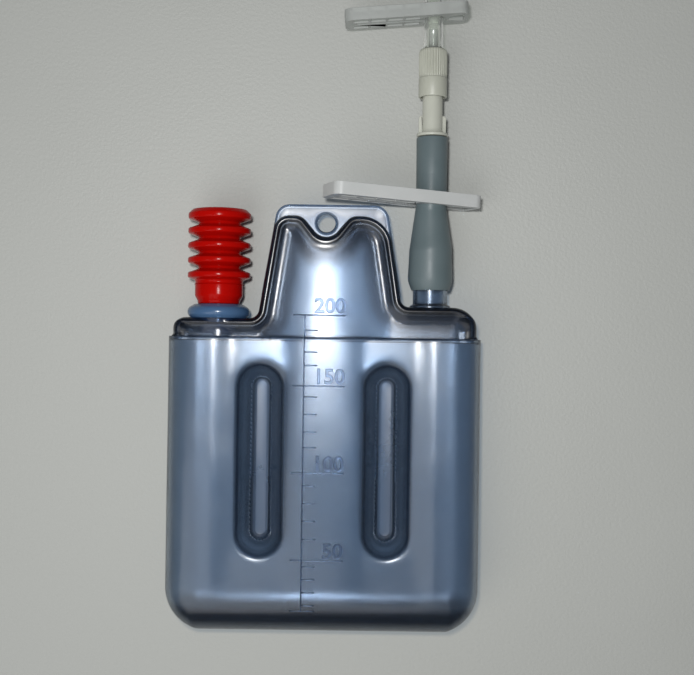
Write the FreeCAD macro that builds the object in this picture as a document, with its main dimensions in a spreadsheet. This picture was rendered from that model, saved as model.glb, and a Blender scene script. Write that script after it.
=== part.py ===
import FreeCAD, Part
import math
import os

import Sketcher
from FreeCAD import Placement, Rotation, Vector

# Closed suction drain: a flat, clear, blow-moulded 200 ml bottle that lies on its back, with a
# bellows vacuum indicator on its left shoulder and the drain line on its right one.
# All sizes are in millimetres. X is to the right, Y runs from the bottle's base to its hanger hole,
# and Z is up, away from the surface that the back lies on. Heights are measured from the base.
# The row's origin is in the middle of the flat back, back_centre above the base.

SIZES = [
    ("bottle_width", 110.0, "body, side to side"),
    ("bottle_depth", 25.0, "body, back to front"),
    ("ledge_height", 103.4, "base to the ledge under the shoulders"),
    ("back_centre", 52.0, "base to the origin"),
    ("wall", 1.3, "wall of the blown bottle"),
    ("base_corner", 15.5, "round corners beside the base"),
    ("side_roll", 10.0, "round edges of the body, front and back"),
    ("ledge_step", 1.6, "how far the shoulders stand in from the body"),
    ("upper_overlap", 6.0, "how far the upper form runs down into the body"),
    ("left_rise", 6.6, "ledge to the left shoulder's top"),
    ("right_rise", 11.1, "ledge to the right shoulder's top"),
    ("left_corner", 5.0, "round corner of the left shoulder"),
    ("right_corner", 8.8, "round corner of the right shoulder"),
    ("upper_roll", 4.5, "round edges of shoulders and hump"),
    ("foot_fillet", 3.0, "inside corner between shoulder and hump"),
    ("hump_centre", 2.0, "hump, off the middle line"),
    ("hump_half", 19.5, "half the hump's width at its top"),
    ("hump_rise", 42.6, "ledge to the top of the hollow hump"),
    ("hump_lean", 9.5, "lean of the hump's sides, degrees"),
    ("lobe_left", 5.5, "round corner at the hump's left"),
    ("lobe_right", 11.0, "round corner at the hump's right"),
    ("lobe_inner", 5.0, "round corners beside the dip"),
    ("dip_radius", 5.2, "dip of the hollow round the hanger hole"),
    ("dip_slope", 50.0, "slope of the dip's sides, degrees"),
    ("hole_drop", 2.1, "hump's top down to the hanger hole"),
    ("hole_radius", 3.2, "hanger hole"),
    ("hole_rim", 5.0, "raised rim round the hanger hole"),
    ("rim_depth", 4.0, "thickness of that rim"),
    ("tab_rise", 4.4, "hump's top to the hanger tab's top"),
    ("seam_rise", 14.6, "ledge to where the pinched seam beside the hump starts"),
    ("tab_depth", 3.0, "thickness of the pinched tab"),
    ("tab_corner", 5.0, "round corners of the tab"),
    ("seam", 0.5, "pinched seam outside the hump"),
    ("pillar_offset", 22.0, "middle line to each kiss-off pillar"),
    ("pillar_width", 16.7, "mouth of the recess over a pillar"),
    ("pillar_low", 27.0, "base to the recess's lower end"),
    ("pillar_drop", 9.0, "ledge down to the recess's upper end"),
    ("pillar_web", 2.0, "closed web between front and back recess"),
    ("pillar_taper", 25.4, "slope of the recess's flanks, degrees"),
    ("pillar_lip", 2.5, "round lip of the recess"),
    ("tick_height", 0.35, "how far the scale stands out"),
    ("tick_width", 0.5, "width of a scale line"),
    ("scale_foot", 6.6, "base to the scale's lowest line"),
    ("scale_line", -6.6, "middle line to the scale's upright line"),
    ("major_length", 18.0, "long scale lines"),
    ("minor_length", 4.6, "short scale lines"),
    ("beside_step", 6.17, "10 ml between the pillars"),
    ("clear_step", 4.61, "10 ml above and below the pillars"),
    ("indicator_inset", 17.2, "side wall to the indicator's axis"),
    ("seat_radius", 9.5, "flat seat under the grommet"),
    ("seat_hole", 6.5, "hole for the grommet"),
    ("grommet_radius", 11.0, "grommet's flange"),
    ("grommet_height", 5.3, "grommet's flange"),
    ("grommet_bore", 5.0, "hole for the bellows' spigot"),
    ("grommet_bead", 6.9, "bead under the bottle's wall"),
    ("grommet_tail", 5.0, "grommet below the bottle's wall"),
    ("fit", 0.05, "clearance between pushed-together pieces"),
    ("bellows_low", 7.3, "radius of the bellows' foot"),
    ("bellows_waist", 8.5, "radius under the lowest fold"),
    ("bellows_valley", 7.35, "radius between folds"),
    ("bellows_tip", 11.15, "radius of a fold"),
    ("bellows_tip_height", 1.9, "height of a fold's rim"),
    ("bellows_wall", 0.9, "wall of the bellows"),
    ("fold_first", 9.8, "grommet's top to the middle of the lowest fold"),
    ("fold_pitch", 5.2, "from fold to fold"),
    ("bellows_cap", 2.3, "middle of the top fold to the bellows' closed top"),
    ("line_inset", 18.0, "side wall to the drain line's axis"),
    ("stub_radius", 6.1, "outlet stub"),
    ("stub_bore", 4.8, "bore of the outlet stub"),
    ("stub_length", 25.0, "outlet stub above the shoulder"),
    ("stub_bead", 6.5, "bead at the stub's mouth"),
    ("sleeve_start", 5.9, "shoulder to the sleeve's lower end"),
    ("sleeve_length", 54.4, "rubber sleeve"),
    ("sleeve_bulge", 7.8, "sleeve over the stub"),
    ("sleeve_end", 7.1, "sleeve at its lower end"),
    ("sleeve_neck", 5.35, "sleeve beyond the stub"),
    ("sleeve_top", 5.2, "sleeve at the connector"),
    ("sleeve_bore", 3.7, "bore of the sleeve's neck"),
    ("clamp_rise", 38.4, "right shoulder's top to the sleeve clamp's middle"),
    ("clamp_right", 16.5, "sleeve's axis to the clamp's right end"),
    ("clamp_left", 38.6, "sleeve's axis to the clamp's left end"),
    ("clamp_depth", 16.4, "sleeve clamp, front to back"),
    ("clamp_rim", 4.4, "height of the clamp's rim"),
    ("clamp_hole", 5.85, "clamp's open end, round the sleeve"),
    ("clamp_slot", 2.6, "clamp's pinching slot"),
    ("clamp_tilt", 2.5, "sleeve clamp, turned in the picture's plane, degrees"),
    ("clamp_roll", 19.5, "sleeve clamp, turned about the sleeve, degrees"),
    ("flange_radius", 5.55, "connector's flange"),
    ("flange_height", 1.1, "connector's flange"),
    ("barrel_radius", 3.55, "connector's barrel"),
    ("barrel_bore", 2.3, "bore of the connector"),
    ("barrel_length", 21.0, "flange to the connector's upper end"),
    ("spigot_length", 13.0, "connector inside the sleeve"),
    ("spigot_barb", 3.9, "barbs on the connector's spigot"),
    ("fin_half", 4.85, "half the width over the connector's fins"),
    ("fin_height", 6.3, "connector's fins"),
    ("fin_thick", 1.2, "connector's fins"),
    ("lug_radius", 3.85, "locking lugs at the connector's upper end"),
    ("lug_thick", 2.4, "locking lugs, front to back"),
    ("collar_start", 13.9, "flange to the luer collar"),
    ("collar_length", 17.0, "luer collar"),
    ("collar_radius", 5.05, "luer collar"),
    ("collar_bore", 4.3, "luer collar, inside"),
    ("collar_web", 1.6, "luer collar's top"),
    ("grip_length", 10.0, "ribbed part of the collar"),
    ("grip_rib", 0.3, "height of a rib"),
    ("hub_cone", 2.1, "luer cone, at its root"),
    ("hub_cone_tip", 1.9, "luer cone, at its tip"),
    ("hub_cone_length", 7.0, "luer cone"),
    ("hub_disc", 4.0, "disc that the collar turns on"),
    ("hub_disc_height", 1.6, "that disc"),
    ("hub_bore", 1.0, "bore of the luer hub"),
    ("hub_spigot", 1.7, "spigot inside the drain tube"),
    ("hub_spigot_length", 9.0, "spigot inside the drain tube"),
    ("tube_radius", 3.5, "drain tube"),
    ("tube_clamp_height", 219.0, "base to the tube clamp's middle"),
    ("tube_clamp_right", 12.0, "tube's axis to the tube clamp's right end"),
    ("tube_clamp_left", 31.6, "tube's axis to the tube clamp's left end"),
    ("tube_clamp_depth", 13.0, "tube clamp, front to back"),
    ("tube_clamp_rim", 4.4, "height of the tube clamp's rim"),
    ("tube_clamp_hole", 3.95, "tube clamp's open end"),
    ("tube_clamp_slot", 1.6, "tube clamp's pinching slot"),
    ("tube_clamp_tilt", 4.7, "tube clamp, turned in the picture's plane, degrees"),
    ("frame_wall", 1.5, "rims of both clamps"),
    ("frame_rail", 1.2, "rails beside both clamps' slots"),
    ("frame_web", 1.4, "webs of both clamps"),
    ("frame_rib", 0.8, "cross ribs of both clamps"),
    ("frame_corner", 3.0, "round corners of both clamps"),
    ("floor_gap", 0.1, "drain tube above the surface"),
    ("coil_height", 300.0, "base to the middle of the coiled tube"),
    ("coil_radius", 38.5, "middle of those turns"),
    ("coil_top_start", 40.0, "where the upper turn starts, degrees"),
    ("coil_top_sweep", 320.0, "how far the upper turn goes round, degrees"),
    ("adapter_socket", 4.9, "adapter's socket"),
    ("adapter_length", 46.0, "adapter"),
    ("adapter_tip", 2.5, "adapter's narrowest step"),
    ("adapter_bore", 1.5, "adapter's bore"),
]
FOLDS = 5
BARBS = 3
GRIP_RIBS = 34
CELLS_PER_SIDE = 4
COIL_TURNS = 2
ADAPTER_STEPS = 4


class Measure:
    """A size in millimetres or degrees, with the expression that names its cells."""

    def __init__(self, value, text):
        self.value = float(value)
        self.text = text

    def __add__(self, other):
        other = measure(other)
        return Measure(self.value + other.value, f"({self.text} + {other.text})")

    def __sub__(self, other):
        other = measure(other)
        return Measure(self.value - other.value, f"({self.text} - {other.text})")

    def __mul__(self, other):
        other = measure(other)
        return Measure(self.value * other.value, f"({self.text} * {other.text})")

    def __truediv__(self, other):
        other = measure(other)
        return Measure(self.value / other.value, f"({self.text} / {other.text})")

    def __neg__(self):
        return self * -1

    def __radd__(self, other):
        return measure(other) + self

    def __rsub__(self, other):
        return measure(other) - self

    def __rmul__(self, other):
        return measure(other) * self


def measure(number):
    """A Measure as it is, or a plain number as one."""
    if isinstance(number, Measure):
        return number
    return Measure(number, f"({float(number):.9f})")


def tangent(angle):
    return Measure(math.tan(math.radians(angle.value)), f"tan({angle.text} * 1 deg)")


def cosine(angle):
    return Measure(math.cos(math.radians(angle.value)), f"cos({angle.text} * 1 deg)")


doc = FreeCAD.newDocument("closed_suction_drain")
sheet = doc.addObject("Spreadsheet::Sheet", "sizes")
for row, (alias, number, note) in enumerate(SIZES, start=1):
    sheet.set(f"A{row}", alias)
    sheet.set(f"B{row}", str(number))
    sheet.set(f"C{row}", note)
    sheet.setAlias(f"B{row}", alias)
doc.recompute()
S = {alias: Measure(number, f"sizes.{alias}") for alias, number, note in SIZES}
ZERO = measure(0)

# Places that follow from other sizes: heights from the base, and distances from the middle line.
S["shoulder_left"] = S["ledge_height"] + S["left_rise"]
S["shoulder_right"] = S["ledge_height"] + S["right_rise"]
S["pillar_high"] = S["ledge_height"] - S["pillar_drop"]
S["tab_foot"] = S["ledge_height"] + S["seam_rise"]
S["hump_top"] = S["ledge_height"] + S["hump_rise"]
S["hole_height"] = S["hump_top"] - S["hole_drop"]
S["tab_top"] = S["hump_top"] + S["tab_rise"]
S["clamp_height"] = S["shoulder_right"] + S["clamp_rise"]
S["indicator_offset"] = S["bottle_width"] / 2 - S["indicator_inset"]
S["line_offset"] = S["bottle_width"] / 2 - S["line_inset"]

def bind(thing, prop, size):
    """Ties one property of a document object to the sheet."""
    thing.setExpression(prop, measure(size).text)


def place(thing, x, y, z, turn=None):
    """Puts an object at a height above the base and a height above the surface."""
    if turn is not None:
        thing.Placement = Placement(Vector(), turn)
    bind(thing, "Placement.Base.x", x)
    bind(thing, "Placement.Base.y", measure(y) - S["back_centre"])
    bind(thing, "Placement.Base.z", z)


def new_body(label):
    return doc.addObject("PartDesign::Body", label)


def plane_of(body, role):
    return next(f for f in body.Origin.OriginFeatures if f.Role == role)


def new_sketch(body, name, role="XY_Plane", raised=None):
    """A sketch on one of the body's own origin planes, or raised above it."""
    sketch = body.newObject("Sketcher::SketchObject", name)
    sketch.AttachmentSupport = [(plane_of(body, role), "")]
    sketch.MapMode = "FlatFace"
    if raised is not None:
        sketch.AttachmentOffset = Placement(Vector(0, 0, raised.value), Rotation())
        bind(sketch, "AttachmentOffset.Base.z", raised)
    return sketch


def hold(sketch, kind, geo, pos, size):
    """Fixes a point's distance from the sketch's origin to a size."""
    index = sketch.addConstraint(Sketcher.Constraint(kind, -1, 1, geo, pos, size.value))
    bind(sketch, f"Constraints[{index}]", size)


def outline(sketch, corners):
    """A closed outline of straight sides. A corner is (x, y) or (x, y, radius)."""
    points = [(measure(corner[0]), measure(corner[1])) for corner in corners]
    sides = []
    for here, there in zip(points, points[1:] + points[:1]):
        start, end = (Vector(x.value, y.value, 0) for x, y in (here, there))
        sides.append(sketch.addGeometry(Part.LineSegment(start, end), False))
    for number, (side, (x, y)) in enumerate(zip(sides, points)):
        sketch.addConstraint(Sketcher.Constraint("Coincident", sides[number - 1], 2, side, 1))
        hold(sketch, "DistanceX", side, 1, x)
        hold(sketch, "DistanceY", side, 1, y)
    return sketch


def slot_outline(sketch, middle_x, low, high, width):
    """An upright slot with half-round ends, its ends at low and high."""
    half = width / 2
    x, y0, y1 = middle_x.value, (low + half).value, (high - half).value
    r = half.value
    top = sketch.addGeometry(Part.Arc(Vector(x + r, y1), Vector(x, y1 + r), Vector(x - r, y1)))
    left = sketch.addGeometry(Part.LineSegment(Vector(x - r, y1), Vector(x - r, y0)))
    end = sketch.addGeometry(Part.Arc(Vector(x - r, y0), Vector(x, y0 - r), Vector(x + r, y0)))
    right = sketch.addGeometry(Part.LineSegment(Vector(x + r, y0), Vector(x + r, y1)))
    for one, one_end, two, two_end in (
        (top, 2, left, 1), (left, 2, end, 1), (end, 2, right, 1), (right, 2, top, 1),
    ):
        sketch.addConstraint(Sketcher.Constraint("Tangent", one, one_end, two, two_end))
    for arc, y in ((top, high - half), (end, low + half)):
        hold(sketch, "DistanceX", arc, 3, middle_x)
        hold(sketch, "DistanceY", arc, 3, y)
        index = sketch.addConstraint(Sketcher.Constraint("Radius", arc, r))
        bind(sketch, f"Constraints[{index}]", half)


def circle_outline(sketch, x, y, radius):
    ring = sketch.addGeometry(Part.Circle(Vector(x.value, y.value, 0), Vector(0, 0, 1), radius.value))
    hold(sketch, "DistanceX", ring, 3, x)
    hold(sketch, "DistanceY", ring, 3, y)
    index = sketch.addConstraint(Sketcher.Constraint("Radius", ring, radius.value))
    bind(sketch, f"Constraints[{index}]", radius)


def pad(body, sketch, length):
    """Thickens a sketch by the same amount to both sides of its plane."""
    feature = body.newObject("PartDesign::Pad", sketch.Name + "_pad")
    feature.Profile = sketch
    feature.SideType = "Symmetric"
    bind(feature, "Length", length)
    return feature


def block(body, name, corners, length, role="XY_Plane", raised=None):
    """An outline thickened to both sides of its plane, with its upright corners rounded."""
    feature = pad(body, outline(new_sketch(body, name, role, raised), corners), length)
    if role == "XY_Plane":
        return soften(body, feature, corners, lambda p: (p.x, p.y))
    return soften(body, feature, corners, lambda p: (p.x, p.z))


def turned(body, name, corners):
    """An outline revolved about the body's own Y axis, with its round edges softened."""
    sketch = outline(new_sketch(body, name), corners)
    feature = body.newObject("PartDesign::Revolution", name + "_turned")
    feature.Profile = sketch
    feature.ReferenceAxis = (sketch, ["V_Axis"])
    feature.Angle = 360
    return soften(body, feature, corners, lambda p: (math.hypot(p.x, p.z), p.y))


def soften(body, feature, corners, flat):
    """Rounds the edges that came from an outline's corners, each by that corner's radius."""
    radii = {}
    for corner in corners:
        if len(corner) > 2:
            x, y, radius = (measure(part) for part in corner)
            radii.setdefault(radius.text, []).append((x.value, y.value, radius))
    for number, group in enumerate(radii.values(), start=1):
        spots = [(x, y) for x, y, radius in group]
        feature = rounded(
            body, feature, lambda p: any(math.dist(flat(p), spot) < 0.01 for spot in spots),
            group[0][2], f"{feature.Name}_r{number}",
        )
    return feature


def pocket(body, sketch, length=None, taper=None):
    """Cuts a sketch into the body: all the way through, or to a depth."""
    feature = body.newObject("PartDesign::Pocket", sketch.Name + "_pocket")
    feature.Profile = sketch
    if length is None:
        feature.SideType = "Symmetric"
        feature.Type = "ThroughAll"
    else:
        bind(feature, "Length", length)
    if taper is not None:
        bind(feature, "TaperAngle", taper)
    return feature


def mirror(body, features, role, name):
    feature = body.newObject("PartDesign::Mirrored", name)
    feature.Originals = features
    feature.MirrorPlane = (plane_of(body, role), [""])
    body.Tip = feature
    return feature


def edges_where(shape, test):
    """Names of the edges whose ends and middle all pass a test."""
    names = []
    for number, edge in enumerate(shape.Edges, start=1):
        low, high = edge.ParameterRange
        points = [edge.valueAt(p) for p in (low, (low + high) / 2, high)]
        if all(test(p) for p in points):
            names.append(f"Edge{number}")
    return names


def rounded(body, base, test, radius, name):
    """Rounds the edges of a body's last feature that pass a test."""
    doc.recompute()
    feature = body.newObject("PartDesign::Fillet", name)
    feature.Base = (base, edges_where(base.Shape, test))
    bind(feature, "Radius", radius)
    return feature


def fused(name, *parts):
    whole = doc.addObject("Part::MultiFuse", name)
    whole.Shapes = list(parts)
    return whole


def cut(name, base, tool):
    rest = doc.addObject("Part::Cut", name)
    rest.Base = base
    rest.Tool = tool
    return rest


# Bottle. Its outside and its hollow are the same form, the hollow smaller by the wall.


def body_form(name, inset):
    """The flat body with rolled edges, and a tapered recess over each pillar, front and back."""
    half = S["bottle_width"] / 2 - inset
    face = S["bottle_depth"] / 2 - inset
    top = S["ledge_height"] - inset
    corner = S["base_corner"] - inset
    body = new_body(name)
    plain = block(body, name + "_plan", [
        (-half, top), (-half, inset, corner), (half, inset, corner), (half, top),
    ], face * 2)
    rounded(
        body, plain,
        lambda p: abs(abs(p.z) - face.value) < 0.01 and not abs(p.y - top.value) < 0.01,
        S["side_roll"] - inset, name + "_roll",
    )
    mouths = new_sketch(body, name + "_mouths", raised=face)
    for side in (-1, 1):
        slot_outline(
            mouths, S["pillar_offset"] * side, S["pillar_low"] - inset, S["pillar_high"] + inset,
            S["pillar_width"] + inset * 2,
        )
    depth = face + S["fit"] if inset.value > 0 else face - S["pillar_web"] / 2
    recess = pocket(body, mouths, depth, -S["pillar_taper"])
    both = mirror(body, [recess], "XY_Plane", name + "_recesses")
    near = (S["pillar_offset"] + S["pillar_width"] / 2 + inset).value + 0.5
    low, high = S["pillar_low"].value - 2.0, S["pillar_high"].value + 2.0
    rounded(
        body, both,
        lambda p: abs(abs(p.z) - face.value) < 0.01 and abs(p.x) < near and low < p.y < high,
        S["pillar_lip"] - inset, name + "_lips",
    )
    return body


def upper_form(name, inset):
    """Shoulders and hump: their outline with rolled edges, inside a section like the body's."""
    half = S["bottle_width"] / 2 - S["ledge_step"] - inset
    face = S["bottle_depth"] / 2 - S["ledge_step"] - inset
    foot = S["ledge_height"] - S["upper_overlap"]
    left_top, right_top = S["shoulder_left"] - inset, S["shoulder_right"] - inset
    top = S["hump_top"] - inset
    lean, slope = tangent(S["hump_lean"]), tangent(S["dip_slope"])
    along = measure(1) / cosine(S["hump_lean"])

    def side(height):
        """Half the hump's width at a height, less the inset across its leaning side."""
        return S["hump_half"] + (S["hump_top"] - height) * lean - inset * along

    dip = S["hole_height"] - (S["dip_radius"] + inset) / cosine(S["dip_slope"])
    inner = (top - dip) / slope
    plan = new_body(name + "_outline")
    plain = block(plan, name + "_plan", [
        (-half, foot),
        (-half, left_top, S["left_corner"] - inset),
        (S["hump_centre"] - side(left_top), left_top, S["foot_fillet"] + inset),
        (S["hump_centre"] - side(top), top, S["lobe_left"] - inset),
        (-inner, top, S["lobe_inner"] - inset),
        (ZERO, dip, S["dip_radius"] + inset),
        (inner, top, S["lobe_inner"] - inset),
        (S["hump_centre"] + side(top), top, S["lobe_right"] - inset),
        (S["hump_centre"] + side(right_top), right_top, S["foot_fillet"] + inset),
        (half, right_top, S["right_corner"] - inset),
        (half, foot),
    ], face * 2)
    rounded(
        plan, plain,
        lambda p: abs(abs(p.z) - face.value) < 0.01 and not abs(p.y - foot.value) < 0.01,
        S["upper_roll"] - inset, name + "_roll",
    )
    section = new_body(name + "_section")
    roll = S["side_roll"] - S["ledge_step"] - inset
    block(section, name + "_ring", [
        (-half, -face, roll), (-half, face, roll), (half, face, roll), (half, -face, roll),
    ], S["tab_top"] * 2, "XZ_Plane")
    both = doc.addObject("Part::Common", name)
    both.Base = plan
    both.Tool = section
    return both


def hanger_tab():
    """The pinched web over the hump, with a thicker rim where the hanger hole goes."""
    body = new_body("hanger_tab")
    lean = tangent(S["hump_lean"])

    def side(height):
        return S["hump_half"] + (S["hump_top"] - height) * lean + S["seam"]

    top, foot = S["tab_top"], S["tab_foot"]
    block(body, "tab_plan", [
        (S["hump_centre"] - side(foot), foot),
        (S["hump_centre"] - side(top), top, S["tab_corner"]),
        (S["hump_centre"] + side(top), top, S["tab_corner"]),
        (S["hump_centre"] + side(foot), foot),
    ], S["tab_depth"])
    rim = new_sketch(body, "rim_plan")
    circle_outline(rim, ZERO, S["hole_height"], S["hole_rim"])
    pad(body, rim, S["rim_depth"])
    return body


def hanger_hole():
    body = new_body("hanger_hole")
    ring = new_sketch(body, "hole_plan")
    circle_outline(ring, ZERO, S["hole_height"], S["hole_radius"])
    pad(body, ring, S["bottle_depth"])
    return body


def outlet_stub():
    """The stub that the sleeve is pushed on, with a foot ring and a bead at its mouth."""
    body = new_body("outlet_stub")
    radius, bead = S["stub_radius"], S["stub_bead"]
    foot, mouth = -S["upper_roll"] - S["wall"], S["stub_length"]
    turned(body, "stub_profile", [
        (0, foot), (radius + 1.1, foot), (radius + 1.1, 0.7), (radius, 0.7),
        (radius, mouth - 4.0), (bead, mouth - 3.4), (radius - 0.3, mouth), (0, mouth),
    ])
    stand(body, S["line_offset"], S["shoulder_right"])
    return body


def stand(body, x, height):
    """Puts a piece of the bottle where it goes, in the bottle's own middle plane."""
    bind(body, "Placement.Base.x", x)
    bind(body, "Placement.Base.y", height)


def bore_down(name, x, height, radius, reach):
    """A round cutter along Y, from below a shoulder's wall up to reach above its top."""
    body = new_body(name)
    below = S["wall"] + S["upper_roll"] + 4.0
    turned(body, name + "_profile", [(0, -below), (radius, -below), (radius, reach), (0, reach)])
    stand(body, x, height)
    return body


def grommet_seat():
    """The flat round seat on the left shoulder, which fills the rolled edge under the grommet."""
    body = new_body("grommet_seat")
    radius, foot = S["seat_radius"], S["upper_roll"] + S["wall"]
    turned(body, "seat_profile", [(0, -foot), (radius, -foot), (radius, 0, 0.4), (0, 0)])
    stand(body, -S["indicator_offset"], S["shoulder_left"])
    return body


def bar(name, x0, x1, y0, y1):
    """A raised line on the bottle's face."""
    line = doc.addObject("Part::Box", name)
    bind(line, "Length", x1 - x0)
    bind(line, "Width", y1 - y0)
    bind(line, "Height", S["tick_height"] * 2)
    bind(line, "Placement.Base.x", x0)
    bind(line, "Placement.Base.y", y0)
    bind(line, "Placement.Base.z", S["bottle_depth"] / 2 - S["tick_height"])
    return line


def scale_lines():
    """The moulded scale: an upright line, a long line each 50 ml and short ones each 10 ml."""
    left, half = S["scale_line"], S["tick_width"] / 2
    height = S["scale_foot"]
    lines = []
    for number in range(19):
        major = number % 5 == 4 or number == 0
        start = left - S["minor_length"] if major else left
        end = start + (S["major_length"] if major else S["minor_length"])
        lines.append(bar(f"scale_{number + 1}0", start, end, height - half, height + half))
        beside = S["pillar_low"].value < height.value + S["clear_step"].value
        beside = beside and height.value < S["pillar_high"].value
        if (height + S["beside_step"]).value > S["ledge_height"].value:
            break
        height = height + (S["beside_step"] if beside else S["clear_step"])
    lines.append(bar("scale_upright", left - half, left + half, S["scale_foot"], height + half))
    return fused("scale_lines", *lines)


def bottle():
    outside = fused(
        "bottle_outside", body_form("body_outside", ZERO), upper_form("upper_outside", ZERO),
        hanger_tab(), outlet_stub(), grommet_seat(), scale_lines(),
    )
    hollow = fused(
        "bottle_hollow", body_form("body_hollow", S["wall"]), upper_form("upper_hollow", S["wall"]),
        bore_down("stub_way", S["line_offset"], S["shoulder_right"], S["stub_bore"],
                  S["stub_length"] + 1.0),
        bore_down("grommet_way", -S["indicator_offset"], S["shoulder_left"], S["seat_hole"],
                  measure(2.0)),
        hanger_hole(),
    )
    whole = cut("bottle", outside, hollow)
    place(whole, 0, 0, S["bottle_depth"] / 2)
    return whole


# Vacuum indicator: a rubber grommet in the left shoulder and a hollow bellows in it.


def indicator_grommet():
    body = new_body("indicator_grommet")
    flange, high = S["grommet_radius"], S["grommet_height"]
    stem, bead = S["seat_hole"] - S["fit"], S["grommet_bead"]
    grip = -S["wall"] - S["fit"]
    tail = grip - S["grommet_tail"]
    turned(body, "grommet_profile", [
        (S["grommet_bore"], tail), (stem - 0.8, tail), (bead, grip - 1.4),
        (bead, grip), (stem, grip), (stem, 0), (flange - 1.6, 0),
        (flange, high * 0.3, 2.0), (flange, high * 0.75, 2.0), (flange - 2.4, high, 2.0),
        (S["grommet_bore"], high),
    ])
    place(body, -S["indicator_offset"], S["shoulder_left"], S["bottle_depth"] / 2)
    return body


def groove(body, name, corners):
    """Cuts an outline, revolved about the body's own Y axis, out of the body."""
    sketch = outline(new_sketch(body, name), corners)
    feature = body.newObject("PartDesign::Groove", name + "_groove")
    feature.Profile = sketch
    feature.ReferenceAxis = (sketch, ["V_Axis"])
    feature.Angle = 360
    return feature


def along_y(body, feature, name, pitch, count):
    """Repeats a feature along the body's own Y axis."""
    row = body.newObject("PartDesign::LinearPattern", name)
    row.Originals = [feature]
    row.Direction = (plane_of(body, "Y_Axis"), [""])
    bind(row, "Length", pitch * (count - 1))
    row.Occurrences = count
    body.Tip = row
    return row


def indicator_bellows():
    """Folds on a foot that is pushed into the grommet; the top is closed."""
    body = new_body("indicator_bellows")
    wall, valley, tip = S["bellows_wall"], S["bellows_valley"], S["bellows_tip"]
    spigot, pitch = S["grommet_bore"] - S["fit"], S["fold_pitch"]
    rim, first, foot = S["bellows_tip_height"] / 2, S["fold_first"], -S["grommet_height"]
    top = first + pitch * (FOLDS - 1) + S["bellows_cap"]
    waist_low, waist_high = pitch * 0.55, first - pitch / 2
    turned(body, "bellows_core", [
        (0, foot), (spigot, foot), (spigot, 0), (S["bellows_low"], 0),
        (S["bellows_waist"], waist_low, 1.5), (S["bellows_waist"], waist_high),
        (valley, waist_high), (valley, top), (0, top),
    ])
    fold = turned(body, "bellows_fold", [
        (valley - wall, first - pitch / 2 + 0.3), (tip, first - rim), (tip, first + rim),
        (valley - wall, first + pitch / 2 - 0.3),
    ])
    folds = along_y(body, fold, "bellows_folds", pitch, FOLDS)
    rounded(
        body, folds, lambda p: abs(math.hypot(p.x, p.z) - tip.value) < 0.01, measure(0.8), "fold_rims"
    )
    groove(body, "bellows_bore", [
        (0, foot - 1), (spigot - wall, foot - 1), (spigot - wall, wall),
        (S["bellows_waist"] - wall, waist_low + wall / 2),
        (S["bellows_waist"] - wall, waist_high - wall), (valley - wall, waist_high),
        (valley - wall, top - wall), (0, top - wall),
    ])
    inside = groove(body, "fold_bore", [
        (valley - wall - 0.5, first - pitch / 2 + wall), (tip - wall, first - 0.2),
        (tip - wall, first + 0.2), (valley - wall - 0.5, first + pitch / 2 - wall),
    ])
    along_y(body, inside, "fold_bores", pitch, FOLDS)
    seat = S["shoulder_left"] + S["grommet_height"] + S["fit"]
    place(body, -S["indicator_offset"], seat, S["bottle_depth"] / 2)
    return body


# Drain line: sleeve, its clamp, the connector, the luer collar on its hub, and the tube.


def line_place(body, above_shoulder):
    place(body, S["line_offset"], S["shoulder_right"] + above_shoulder, S["bottle_depth"] / 2)


def drain_sleeve():
    """A soft sleeve, stretched over the stub at its lower end and over the spigot at its upper."""
    body = new_body("drain_sleeve")
    on_stub = S["stub_length"] - S["sleeve_start"]
    long, neck, bulge = S["sleeve_length"], S["sleeve_neck"], S["sleeve_bulge"]
    grip = long - S["spigot_length"]
    on_bead, on_barb = S["stub_bead"] + S["fit"], S["spigot_barb"] + S["fit"]
    turned(body, "sleeve_profile", [
        (on_bead, 0), (S["sleeve_end"], 0), (bulge, 3.6, 12.0),
        (bulge, on_stub - 3.5, 20.0), (neck, on_stub + 10.0, 18.0), (neck, grip),
        (S["sleeve_top"], long, 0.5), (on_barb, long), (on_barb, grip - 0.5),
        (S["sleeve_bore"], grip - 2.0), (S["sleeve_bore"], on_stub + 4.5), (on_bead, on_stub + 0.5),
    ])
    line_place(body, S["sleeve_start"])
    return body


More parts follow.
